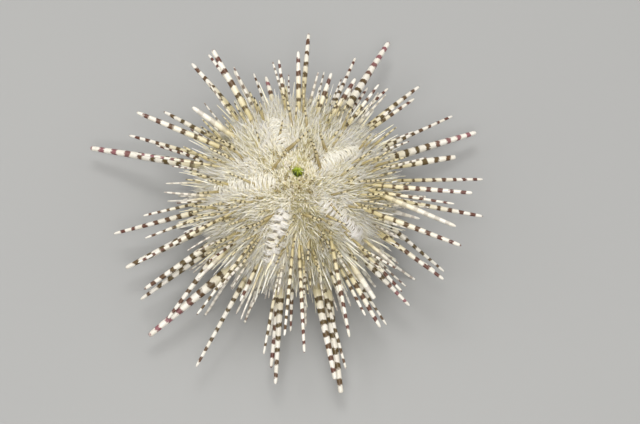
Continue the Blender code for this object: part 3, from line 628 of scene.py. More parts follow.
# Upper spines: brown at the foot and olive tan above, with dark dots on the outer half
def oliveLook():
    look, tree = newLook("oliveSpine", 0.40)
    ring = groupIn(tree, rings, Share=0.36, Softness=0.16, Wobble=0.45, Blotch=0.5, From=0.50)
    speck = groupIn(tree, grain, Scale=1800.0)
    body = mixed(tree, traitOf(tree, "tone"), colours["beige"], colours["tan"])
    body = mixed(tree, ramp(tree, ring["Along"], 0.25, 0.95), body, colours["ivory"])
    worn = maths(tree, "MULTIPLY", ramp(tree, speck["Broad"], 0.4, 0.7), 0.25)
    body = mixed(tree, worn, body, colours["olive"])
    colour = mixed(tree, ring["Mask"], body, colours["darkOlive"])
    return finished(look, colour, speck["Height"], 0.3, 0.0001)


# Lobes of the bare rays: bright white, or dusky lilac where the tone says so, and ivory then slit colour at
# their edges, which is painted shade between the lobes and, at the slits, darker skin as well
def lobeLook():
    look, tree = newLook("rayWhite", 0.42, Subsurface_Weight=0.4, Subsurface_Scale=0.0008,
                         Subsurface_Radius=(1.0, 0.9, 0.8))
    speck = groupIn(tree, grain, Scale=1600.0)
    shade = maths(tree, "MULTIPLY", ramp(tree, speck["Broad"], 0.35, 0.75), 0.25)
    colour = mixed(tree, shade, colours["bright"], colours["ivory"])
    colour = mixed(tree, traitOf(tree, "tone"), colour, colours["lilac"])
    # Ivory at the lobes' edges is painted shade between the lobes; the slit colour at the darkest edges is
    # painted shade and darker skin
    colour = mixed(tree, ramp(tree, traitOf(tree, "edgeShadeAndSlit"), 0.0, 0.6), colour, colours["ivory"])
    slit = maths(tree, "MULTIPLY", ramp(tree, traitOf(tree, "edgeShadeAndSlit"), 0.6, 1.0), 0.7)
    return finished(look, mixed(tree, slit, colour, colours["slit"]), speck["Height"], 0.3, 0.0001)


# Crown plates: olive ivory with a film of olive in the sutures and pores
def plateLook():
    look, tree = newLook("crownPlate", 0.5)
    filmAndGlint = groupIn(tree, stainAndGlint, Scale=420.0, Amount=0.9)
    speck = groupIn(tree, grain, Scale=1500.0)
    colour = mixed(tree, filmAndGlint["Mask"], colours["ivory"], colours["lime"])
    colour = mixed(tree, traitOf(tree, "pitAndShade"), colour, colours["olive"])
    return finished(look, colour, speck["Height"], 0.4, 0.0001)


# Vent: from dark green on the side towards the camera, which is painted shade, through bright green to lime
# on the side away from it, which is painted light, and wet
def ventLook():
    look, tree = newLook("ventGreen", 0.25)
    filmAndGlint = groupIn(tree, stainAndGlint, Scale=900.0, Amount=0.5)
    share = maths(tree, "MULTIPLY_ADD", filmAndGlint["Mask"], -0.3, traitOf(tree, "pitAndShade"))
    colour = mixed(tree, ramp(tree, share, 0.15, 0.5), colours["shadedGreen"], colours["green"])
    return finished(look, mixed(tree, ramp(tree, share, 0.68, 0.95), colour, colours["lime"]))


# Membranes of the vent and the mouth: tan skin with olive patches, soft and a little wet
def membraneLook():
    look, tree = newLook("membraneSkin", 0.36)
    filmAndGlint = groupIn(tree, stainAndGlint, Scale=500.0, Amount=0.7)
    speck = groupIn(tree, grain, Scale=1200.0)
    colour = mixed(tree, filmAndGlint["Mask"], colours["skinTan"], colours["olive"])
    colour = mixed(tree, traitOf(tree, "lime"), colour, colours["lime"])
    colour = mixed(tree, traitOf(tree, "pitAndShade"), colour, colours["beige"])
    return finished(look, colour, speck["Height"], 0.5, 0.00015)


# Teeth: polished white, ivory at the root
def toothLook():
    look, tree = newLook("toothWhite", 0.22)
    speck = groupIn(tree, grain, Scale=1500.0)
    worn = ramp(tree, speck["Broad"], 0.3, 0.8)
    colour = mixed(tree, worn, colours["white"], colours["ivory"])
    return finished(look, colour, speck["Height"], 0.2, 0.00008)


def floorLook():
    look, tree = newLook("paleFloor", 0.85)
    shade = noiseAt(tree, objectPlace(tree), 6.0)
    return finished(look, mixed(tree, shade, colours["floor"], colours["paleFloor"]))


bandedFinish, oliveFinish, needleFinish, skinFinish = bandedLook(), oliveLook(), needleLook(), membraneLook()
print("stage: finishes made")

# Long banded spines as read off the photograph: the pixel of the tip, across and down, the width half way
# along in mm, and the tier that the spine stands in, as the solids have them
girthTips = np.array((
    (484.8, 216.3, 1.2, 1), (452.3, 204.4, 0.75, 3), (470.7, 191.8, 1.2, 3), (481.8, 178.5, 1.0, 1),
    (455, 157.5, 1.7, 1), (476.8, 133, 1.7, 0), (452, 115, 0.9, 2), (413.7, 131.9, 0.55, 1),
    (414.6, 98.4, 1.0, 1), (394, 108.5, 1.0, 1), (419, 85.7, 1.2, 1), (387.8, 88.4, 0.9, 1),
    (379.6, 82.1, 0.9, 3), (367.5, 87.5, 0.95, 0), (387.8, 41.5, 1.75, 2), (354.3, 79.3, 1.4, 3),
    (355.9, 57.3, 1.05, 2), (330.9, 73.7, 1.2, 3), (323, 71.9, 0.6, 2), (307.2, 33, 1.3, 1),
    (297.3, 51.2, 1.3, 3), (279.6, 60.4, 0.95, 3), (265.6, 76.3, 1.25, 1), (253.7, 73.7, 0.65, 0),
    (235.1, 71.1, 1.15, 1), (214.4, 50.1, 1.65, 3), (209.9, 54.2, 1.05, 1), (191.2, 64.5, 1.35, 1),
    (192.3, 107.5, 1.5, 3), (161.6, 111.5, 1.15, 1), (134.9, 110.9, 1.45, 3), (155.1, 143.4, 0.9, 0),
    (128.8, 134.7, 1.0, 1), (133.2, 153.0, 0.7, 3), (91.7, 149.5, 1.75, 2), (164.5, 183.8, 0.6, 1),
    (177.9, 202.6, 0.8, 1), (141.7, 214.5, 0.8, 1), (113.7, 232.3, 1.1, 2), (145.7, 238.5, 0.8, 1),
    (137.1, 261.7, 0.9, 3), (125, 268.6, 1.55, 0), (145, 288, 1.4, 2), (142.5, 298.8, 1.25, 0),
    (195.8, 279.4, 1.1, 1), (147, 335.3, 2.0, 0), (168, 320, 1.2, 2), (195.6, 315.6, 0.75, 3),
    (196.1, 365.2, 1.0, 2), (213.9, 335.7, 0.9, 0), (240.3, 300.5, 1.0, 1), (240, 318.8, 0.6, 1),
    (263.8, 355.7, 0.8, 1), (271.2, 366, 1.4, 0), (274.2, 383.8, 1.25, 2), (284.2, 334, 0.85, 3),
    (290.5, 330.2, 0.8, 2), (303.2, 353.5, 0.9, 3), (333.9, 380, 1.5, 2), (341.1, 393.6, 1.75, 0),
    (346.5, 368.1, 0.85, 2), (348, 336.1, 1.0, 3), (343.3, 303.5, 0.75, 1), (366.2, 315.8, 0.85, 1),
    (380, 327.7, 1.3, 1), (385.8, 325.3, 0.75, 0), (374.7, 299.5, 1.55, 1), (410, 307.9, 1.1, 0),
    (401.3, 291.4, 1.0, 1), (405, 285.6, 0.5, 0), (393.4, 264.8, 1.0, 1), (441.9, 278.9, 1.1, 1),
    (435.3, 270.6, 0.85, 1), (444.8, 271, 0.9, 0), (397.4, 237.3, 1.0, 1), (461, 245, 1.25, 3),
    (418.3, 217.9, 1.0, 2), (456.5, 226, 1.3, 3),
), float)
girth = {
    # For each tier: the root's latitude, the height in mm of a tip that reaches as far as the shell, and how
    # much lower a tip is for each mm that it reaches further
    "tiers": ((-9.0, 15.0, 0.27), (20.0, 22.5, 0.10), (-2.0, 16.6, 0.27), (50.0, 31.0, -0.10)),
    # How many degrees further round than its tip a root stands, by the spine's number in the table
    "rootTurns": {41: -7.0, 45: 11.0, 46: -9.0, 59: 7.0, 61: 18.0, 71: 4.0, 73: 12.0, 77: 14.0},
    # The width half way along as a share of the root's, how much fuller the model's spines are than they
    # look, and the narrowest and widest root in mm
    "middleWidth": 0.85,
    "fuller": 1.2,
    "rootWidths": (0.8, 2.7),
    "taper": 0.5,
    # Width at the foot of a spine rooted above the girth, and the share of it from which the width is whole
    "slimFoot": 0.42,
    "fullFrom": 0.62,
    "pale": (116, 146, 177, 188, 225, 249, 304, 320, 332, 339, 351),  # bearings almost without rings
    "rosy": (25, 63, 104, 162, 173, 223, 316),  # bearings whose outer rings are rose
    # Spacing of the rings in mm, and how many times its own the root's width adds to it
    "pitch": 1.95,
    "pitchPerWidth": 0.7,
    "foot": ((-0.8, 0.75), (0.0, 0.80), (0.22, 1.05), (0.45, 1.12), (0.66, 1.10), (0.9, 1.0)),
    "steps": 24,
    "sides": 24,
    "ribs": 0.035,
}


# 1 for each bearing that is in the list
def listed(bearing, picked):
    return np.isin(bearing, picked).astype(float)


# Bearings and latitudes that fill a belt evenly: whole turns and shares of the belt, each a step that is
# taken again and again, where the two steps have no common measure
def spreadOver(index, latitudes):
    low, high = latitudes
    return 360.0 * (index * 0.7548777 % 1.0), low + (high - low) * (index * 0.5698403 % 1.0)


# Rods from roots to where they aim, given the rings and the radii that shaftRings makes
def rodSet(root, aim, rings, bend, traits, **more):
    along, radii = rings
    made = {"root": root, "aim": aim, "along": along, "radius": radii, "bend": bend, "traits": traits}
    return {**made, **more}


# A rod's sideways bend, by a share of its length and its own chance
def swayed(aim, length, index, share):
    return unit(np.cross(aim, outward(index * 137.5))) * (share * length * vary(index, 14))[:, None]


# Each girth spine runs straight from its root on the shell to its own tip, whose height falls with its reach
def girthRods():
    index = np.arange(len(girthTips))
    across, down, seen, tier = girthTips.T
    latitude, level, droop = np.array(girth["tiers"])[tier.astype(int)].T
    level = level + vary(index, 1)
    bearing, reach = placeSeen(across, down, lambda far: level * mm - droop * (far - shell["radius"]))
    reach = np.round(reach / mm) * mm
    width = np.round(girth["fuller"] * np.round(seen / girth["middleWidth"], 1), 1)
    width = np.clip(width, *girth["rootWidths"])
    radius = width * mm / 2
    turned = bearing + np.array([girth["rootTurns"].get(number, 0.0) for number in range(len(index))])
    root = shellPoint(heldInside(turned, latitude, 1.45 * radius + shell["gap"]), latitude)
    tip = outward(bearing) * reach[:, None] + axisPoint
    tip[:, 2] = level * mm - droop * (reach - shell["radius"])
    length = np.linalg.norm(tip - root, axis=1)
    blunt = np.clip(0.2 + 0.45 * (width - 0.8) + 0.2 * vary(index, 7), 0.0, 1.0)
    along, radii = shaftRings(length, radius, blunt, girth)
    slim = np.interp(along / length[:, None], (0.0, girth["fullFrom"]), (girth["slimFoot"], 1.0))
    radii = np.where(latitude[:, None] > 0, radii * slim, radii)
    pale = listed(bearing, girth["pale"])
    pitch = (girth["pitch"] + girth["pitchPerWidth"] * width) * (1.0 + 0.12 * vary(index, 8))
    traits = {
        "pitch": pitch,
        "phase": 0.8 + 0.12 * vary(index, 9) - length / mm / pitch,
        "banding": (1.0 - 0.68 * pale) * np.clip(0.4 + 0.6 * width, 0.0, 1.0),
        "warmth": 0.30 * vary(index, 10),
        "rosy": listed(bearing, girth["rosy"]),
        "coated": np.where(latitude > 0, 0.6, 0.25),
        "reach": length / mm,
    }
    bend = np.zeros((len(index), 3))
    bend[:, 2] = -0.006 * length * (1.0 + vary(index, 11))
    return rodSet(root, unit(tip - root), (along, radii), bend, traits)


# Spines in rows up each sector: latitude, length, root radius and how far they splay downwards
upper = {
    "rows": ((22.0, 13.5, 0.48, 4.0), (33.0, 10.5, 0.44, 6.0), (44.0, 8.5, 0.40, 6.0)),
    "fineRows": ((17.0, 11.0, 0.34, 8.0), (38.5, 7.5, 0.30, 9.0)),
    "firstIndex": 300,
    "fineIndex": 1300,
    "seriesAt": (0.5, 0.85),
    "fineAt": (0.12, 0.75),
    "bandedTo": 28.0,  # latitude up to which they are banded as the girth spines are
    "taper": 0.48,
    "foot": ((-0.8, 0.9), (0.0, 1.0), (0.3, 1.45), (0.6, 1.55), (1.0, 1.25), (1.5, 1.0)),
    "steps": 9,
    "sides": 10,
}
under = {
    "rows": ((-24.0, 13.0, 0.50, 0.0), (-36.0, 12.0, 0.55, 0.0), (-48.0, 11.0, 0.52, 0.0),
             (-60.0, 6.0, 0.45, 0.0)),
    "fineRows": ((-18.0, 11.0, 0.36, 0.0), (-30.0, 9.0, 0.38, 0.0), (-42.0, 7.0, 0.38, 0.0),
                 (-54.0, 5.5, 0.36, 0.0)),
    "firstIndex": 100,
    "fineIndex": 1100,
    "seriesAt": (0.5, 0.5),  # share of the half width at which a row runs, between the rays and in them
    "fineAt": (0.08, 0.08),
    "standing": (-36.0, -48.0),
    "taper": 0.55,
    "foot": ((-0.8, 0.75), (0.0, 0.85), (0.3, 1.2), (0.55, 1.25), (0.85, 1.0)),
    "steps": 12,
    "sides": 14,
}
lean = {
    "degrees": 9.0,
    "flare": 14.0,
    "rowShift": 2.5,
    "bearingShift": 1.5,
    "sizeShift": 0.18,
    "clearance": 0.8 * mm,
}


# Two rows of spines up each sector, one half a step behind the other. A spine stands along the shell's
# normal, splayed downwards and leaned its own way, and a standing one runs on to the floor
def rowRods(rows, firstIndex, seriesAt, values, standing=()):
    ray, side, row = np.meshgrid(np.arange(10), np.array((-1, 1)), np.arange(len(rows)), indexing="ij")
    index = firstIndex + 1 + np.arange(ray.size)
    ray, side, row = ray.ravel(), side.ravel(), row.ravel()
    latitude, length, radius, splay = np.array(rows).T[:, row]
    length, radius = length * mm, radius * mm
    between = ray % 2
    middle = shell["firstRay"] + (ray // 2) * shell["rayStep"] + between * shell["rayStep"] / 2
    half = np.where(between == 1, shell["betweenHalf"], shell["rayHalf"])
    at = latitude + np.where(side > 0, lean["rowShift"], -lean["rowShift"])
    wanted = middle + side * np.where(between == 1, *seriesAt) * half + lean["bearingShift"] * vary(index, 2)
    bearing = heldInside(wanted, at, 1.45 * radius + shell["gap"])
    length = length * (1.0 + lean["sizeShift"] * vary(index, 3))
    elevation = normalRise(bearing, at) + np.where(at < 0, lean["flare"], 0.0)
    turned = lean["degrees"] * vary(index, 4) * (1.0 + np.maximum(0.0, at) / 60.0)
    aim = aimAt(bearing + turned, elevation - splay + lean["degrees"] * vary(index, 5))
    root = shellPoint(bearing, at)
    stands = np.isin(latitude, standing)
    lowest = root[:, 2] + aim[:, 2] * length
    floorLength = root[:, 2] / np.where(stands, -aim[:, 2], 1.0)
    clearLength = (root[:, 2] - lean["clearance"] - radius * values["taper"]) / np.maximum(-aim[:, 2], 0.001)
    length = np.where(stands, floorLength, np.where(lowest < lean["clearance"] + radius, clearLength, length))
    return {"root": root, "aim": aim, "length": length, "radius": radius, "index": index, "stands": stands}


# The rods that a mask picks
def pickedFrom(sets, mask):
    return {key: each[mask] for key, each in sets.items()}


# Several sets of rods as one
def joined(sets):
    return {key: np.concatenate([one[key] for one in sets]) for key in sets[0]}


# Phase that puts a ring's middle a little inside the tip
def tipPhase(length, pitch, index):
    return 0.22 + 0.12 * vary(index, 9) - length / mm / pitch


# Shafts and traits of a row set: standing spines end flat, because their mesh is cut at the floor
def shaftSet(sets, values, pitch, banding):
    index, length, radius = sets["index"], sets["length"], sets["radius"]
    pitch = pitch * (1.0 + 0.25 * vary(index, 8))
    run = length + np.where(sets["stands"], 0.8 * mm, 0.0)
    blunt = np.where(sets["stands"], 1.0, 0.55 + 0.4 * vary(index, 7))
    traits = {
        "pitch": pitch,
        "phase": tipPhase(length, pitch, index),
        "banding": np.clip(banding + 0.3 * vary(index, 12), 0.0, 1.0),
        "warmth": 0.2 * vary(index, 10),
        "rosy": 0 * radius,
        "coated": 0.3 + 0 * radius,
        "tone": 0.3 + 0.3 * vary(index, 13),
        "reach": run / mm,
    }
    rings = shaftRings(run, radius, blunt, values)
    return rodSet(sets["root"], sets["aim"], rings, swayed(sets["aim"], length, index, 0.02), traits)


# Both sizes of row of one kind of spine
def rowsOf(values, standing=()):
    return joined([rowRods(values["rows"], values["firstIndex"], values["seriesAt"], values, standing),
                   rowRods(values["fineRows"], values["fineIndex"], values["fineAt"], values)])


girthSpines = girthRods()
upperRoots, underRoots = rowsOf(upper), rowsOf(under, under["standing"])
girthPiece = rodPiece("girthSpines", girthSpines, bandedFinish, girth, 35)
isOuter = upperRoots["root"][:, 2] < profileAt(upper["bandedTo"])[1]
outerRoots, innerRoots = pickedFrom(upperRoots, isOuter), pickedFrom(upperRoots, ~isOuter)
outerPiece = rodPiece("outerSpines", shaftSet(outerRoots, upper, 2.1, 0.75), bandedFinish, upper, 30)
upperPiece = rodPiece("upperSpines", shaftSet(innerRoots, upper, 1.7, 0.8), oliveFinish, upper, 30)
underPiece = rodPiece("underSpines", shaftSet(underRoots, under, 2.3, 0.45), bandedFinish, under, 40)

# Spines round the crown as read off the photograph: the pixel of the root, then that of the tip
crownSpines = {
    "pixels": np.array((
        (263.5, 184.8, 240.9, 172.7), (257.7, 168.7, 226.6, 151.6), (262.1, 155.5, 228.4, 141.6),
        (270.9, 168.7, 288.0, 153.2), (281.2, 151.9, 306.2, 137.2), (277.6, 143.1, 284.4, 128.4),
        (293.7, 131.9, 289.3, 111.5), (308.4, 133.5, 303.2, 116.7), (326.7, 149.7, 315.7, 138.7),
        (318.6, 156.3, 307.3, 141.3), (321.6, 169.5, 309.8, 146.0), (277.6, 209.1, 259.9, 215.0),
        (298.1, 209.1, 317.2, 211.3), (320.1, 209.8, 337.0, 213.8), (326.5, 195.8, 333.3, 207.6),
        (270.9, 219.4, 257.7, 236.2), (253.3, 191.5, 222.5, 198.1), (254.0, 143.7, 232.7, 131.4),
        (268.0, 134.3, 251.1, 116.7), (335.5, 180.5, 367.8, 176.8), (345.8, 189.3, 372.0, 197.6),
        (323.8, 128.4, 329.6, 113.0), (309.1, 225.2, 304.7, 241.4), (262.1, 232.6, 244.5, 247.2),
    )),
    "rootRise": 2.0 * mm,  # how high above the shell the root and the tip look to be
    "tipRise": 5.5 * mm,
    "tipLift": 6.5 * mm,  # height of the tips above the shell
    "radius": 0.46 * mm,
    "taper": 0.42,
    "pitch": 1.25,
    "foot": ((-0.8, 0.9), (0.0, 1.0), (0.3, 1.15), (0.6, 1.1), (1.0, 1.0)),
    "steps": 10,
    "sides": 12,
}


# Bearings, and reaches to a tenth of a millimetre, of points that stand some way above the upper shell
def placeOnCrown(across, down, rise):
    bearing, reach = placeSeen(across, down, lambda far: crownHeight(far) + rise)
    return bearing, np.round(reach / mm, 1)


# Each runs from the shell to a tip that stands above the shell further out or further round
def crownRods():
    rootAcross, rootDown, tipAcross, tipDown = crownSpines["pixels"].T
    rootBearing, rootReach = placeOnCrown(rootAcross, rootDown, crownSpines["rootRise"])
    tipBearing, tipReach = placeOnCrown(tipAcross, tipDown, crownSpines["tipRise"])
    index = np.arange(len(rootReach)) + 2000
    root = shellPoint(rootBearing, latitudeAt(rootReach * mm, 1))
    tip = shellPoint(tipBearing, latitudeAt(tipReach * mm, 1), crownSpines["tipLift"])
    length = np.linalg.norm(tip - root, axis=1)
    radius = crownSpines["radius"] * (0.85 + 0.02 * length / mm) * (1.0 + 0.1 * vary(index, 3))
    pitch = crownSpines["pitch"] * (1.0 + 0.2 * vary(index, 8))
    traits = {"pitch": pitch, "phase": tipPhase(length, pitch, index), "banding": 1.0 + 0 * radius,
              "coated": 0.1 + 0 * radius, "tone": 0.75 + 0.25 * vary(index, 13), "reach": length / mm}
    rings = shaftRings(length, radius, 0.5, crownSpines)
    return rodSet(root, unit(tip - root), rings, swayed(tip - root, length, index, 0.03), traits)


crownSpinePiece = rodPiece("crownSpines", crownRods(), oliveFinish, crownSpines, 8)

# White pointed needles that stand out of the coat between the long spines
sideNeedles = {
    "count": 300,
    "latitudes": (-26.0, 34.0),
    "length": 7.4 * mm,
    "lengthShift": 0.38,
    "radius": 0.27 * mm,
    "taper": 0.36,
    "splay": 3.0,
    "lean": 9.0,
    "glow": 0.6,
    "lift": 1.6,
    "firstIndex": 3000,
    "foot": ((-0.6, 0.9), (0.0, 1.0), (0.3, 1.1)),
    "steps": 8,
    "sides": 8,
}


def sideRods():
    index = sideNeedles["firstIndex"] + np.arange(sideNeedles["count"])
    bearing, latitude = spreadOver(index, sideNeedles["latitudes"])
    bearing = bearing + 4.0 * vary(index, 2)
    root = shellPoint(bearing, latitude)
    elevation = normalRise(bearing, latitude) * 0.8 - sideNeedles["splay"]
    leaned = sideNeedles["lean"]
    aim = aimAt(bearing + leaned * vary(index, 4), elevation + leaned * vary(index, 5))
    length = sideNeedles["length"] * (1.0 + sideNeedles["lengthShift"] * vary(index, 3))
    radius = sideNeedles["radius"] * (1.0 + 0.25 * vary(index, 6))
    traits = {"tone": 0 * radius, "rise": 0.7 + 0.2 * vary(index, 12)}
    broad = broadAt(bearing, latitude, sideNeedles["lift"])
    return rodSet(root, aim, shaftRings(length, radius, 0.0, sideNeedles), 0 * aim, traits, broad=broad)


sidePiece = rodPiece("sideNeedles", sideRods(), needleFinish, sideNeedles, 30, sideNeedles["glow"])

# Thin olive spines with dark dots, which lie outwards over the coat between the rays
dottedSpines = {
    "count": 200,
    "latitudes": (12.0, 66.0),
    "rayClear": 2.4 * mm,  # none stands this near to the middle of a ray
    "backShare": 0.28,  # share that is kept on the side away from the camera
    "length": 7.6 * mm,
    "lengthShift": 0.28,
    "radius": 0.35 * mm,
    "taper": 0.58,
    "splay": 26.0,
    "lean": 8.0,
    "pitch": 1.9,
    "firstIndex": 4000,
    "foot": ((-0.6, 0.9), (0.0, 1.0), (0.3, 1.15), (0.6, 1.0)),
    "steps": 8,
    "sides": 8,
}


def dottedRods():
    index = dottedSpines["firstIndex"] + np.arange(dottedSpines["count"])
    bearing, latitude = spreadOver(index, dottedSpines["latitudes"])
    bearing = bearing + 3.0 * vary(index, 2)
    flow, away = fromCentre(bearing, profileAt(latitude)[0])
    kept = (np.abs(np.sin(np.radians(fromRay(flow)))) * away > dottedSpines["rayClear"]) & (
        (np.sin(np.radians(bearing)) < 0.2) | (vary(index, 15) < 2.0 * dottedSpines["backShare"] - 1.0))
    index, latitude, bearing, flow = index[kept], latitude[kept], bearing[kept], flow[kept]
    root = shellPoint(bearing, latitude)
    elevation = normalRise(bearing, latitude) - dottedSpines["splay"]
    leaned = dottedSpines["lean"]
    aim = aimAt(flow + 1.6 * leaned * vary(index, 4), elevation + leaned * vary(index, 5))
    length = dottedSpines["length"] * (1.0 + dottedSpines["lengthShift"] * vary(index, 3))
    length = length * (0.5 + 0.5 * np.clip((90.0 - latitude) / 40.0, 0.0, 1.0))
    radius = dottedSpines["radius"] * (1.0 + 0.2 * vary(index, 6))
    pitch = dottedSpines["pitch"] * (1.0 + 0.2 * vary(index, 8))
    traits = {"pitch": pitch, "phase": tipPhase(length, pitch, index), "banding": 0.9 + 0.1 * vary(index, 12),
              "coated": 0.1 + 0 * radius, "tone": 0.30 + 0.35 * vary(index, 13), "reach": length / mm}
    rings = shaftRings(length, radius, 0.5, dottedSpines)
    return rodSet(root, aim, rings, swayed(aim, length, index, 0.03), traits)


dottedPiece = rodPiece("dottedSpines", dottedRods(), oliveFinish, dottedSpines, 20)
counts = [len(each["root"]) for each in (girthSpines, upperRoots, underRoots)]
print("stage: banded, upper and under spines", *counts)

# The vent's membrane and the green vent in it
vent = {
    "columns": 120,
    "rows": 26,
    "rise": 0.5 * mm,
    "scales": 46,
    "scaleHeight": 0.20 * mm,
    "offset": (0.68 * mm, -0.45 * mm),  # the vent stands a little off the axis
    "radius": 1.38 * mm,
    "oval": 0.06,
    "height": 1.35 * mm,
    "clear": 0.40 * mm,  # how far the needles keep off it, mostly on the camera's side
    "lobes": 7,
}

# The coat of short needles
coat = {
    "count": 105000,
    "latitudes": (-60.0, 88.0),
    "length": 4.1 * mm,
    "girthLength": 3.8 * mm,
    "crownShare": 0.46,
    "mouthShare": 0.55,
    "radius": 0.148 * mm,
    "lengthChance": 0.19,
    "radiusChance": 0.18,
    "crownRun": 9.0 * mm,  # how far outside the crown's edge the needles have their whole length
    "bellyFrom": 8.0 * mm,  # how far from the axis they begin to grow on the mouth's side, and over how far
    "bellyRun": 10.0 * mm,
    "girthBreadth": 22.0,
    "laneEdge": 1.2 * mm,  # how far beside a lane its needles are shorter
    "laneShorter": 0.30,
    # Tone between the rays, how much paler a ray's middle is, and the chance of each needle
    "tone": 0.42,
    "rayPaler": 0.55,
    "toneChance": 0.22,
    "backDarker": 0.15,
    "girthPaler": 0.16,
    "crownDarker": 0.24,
    "lanePaler": 0.25,
    "oddShare": 0.06,  # share of the needles that are much darker than the rest
    "oddDarker": 0.7,
    # Short needles that fill the coat from below, middle ones, and long ones that lie over it: their share,
    # then factors of length, radius and scatter, degrees of splay, tone, which is darker on the short needles
    # below as painted shade and paler on the long ones on top, and the glow of their normals
    "kinds": ((0.50, 0.62, 0.95, 1.5, 0.0, 0.18, 0.65), (0.38, 1.0, 1.0, 1.1, 5.0, 0.0, 0.55),
              (0.12, 1.30, 1.45, 0.7, 12.0, -0.30, 0.4)),
    "splays": ((-60.0, 7.0), (0.0, 8.0), (25.0, 20.0), (50.0, 30.0), (70.0, 27.0), (78.0, 18.0),
               (84.0, -4.0)),
    "scatter": 13.0,
    "tuftLean": 7.0,
    "rings": ((0.0, 1.0), (0.55, 0.82)),  # share of the length and of the root's radius
    "sink": 0.3 * mm,
    "lift": 0.7,  # how far the glow turns from the shell's normal towards the zenith
    "limbLift": 1.1,  # how much further it turns above the girth
    "streak": 0.24,  # how much the tone changes in streaks and in patches over the shell
    "patchiness": 0.10,
    "patch": 0.003,
    # The three sectors on the camera's side are darker, most of all the middle one, partly as olive needles
    # and partly as painted shade: bearing, breadth in degrees, and how much
    "darkSides": ((287.0, 31.0, 0.46), (213.0, 20.0, 0.10)),
    "seed": 11,
}


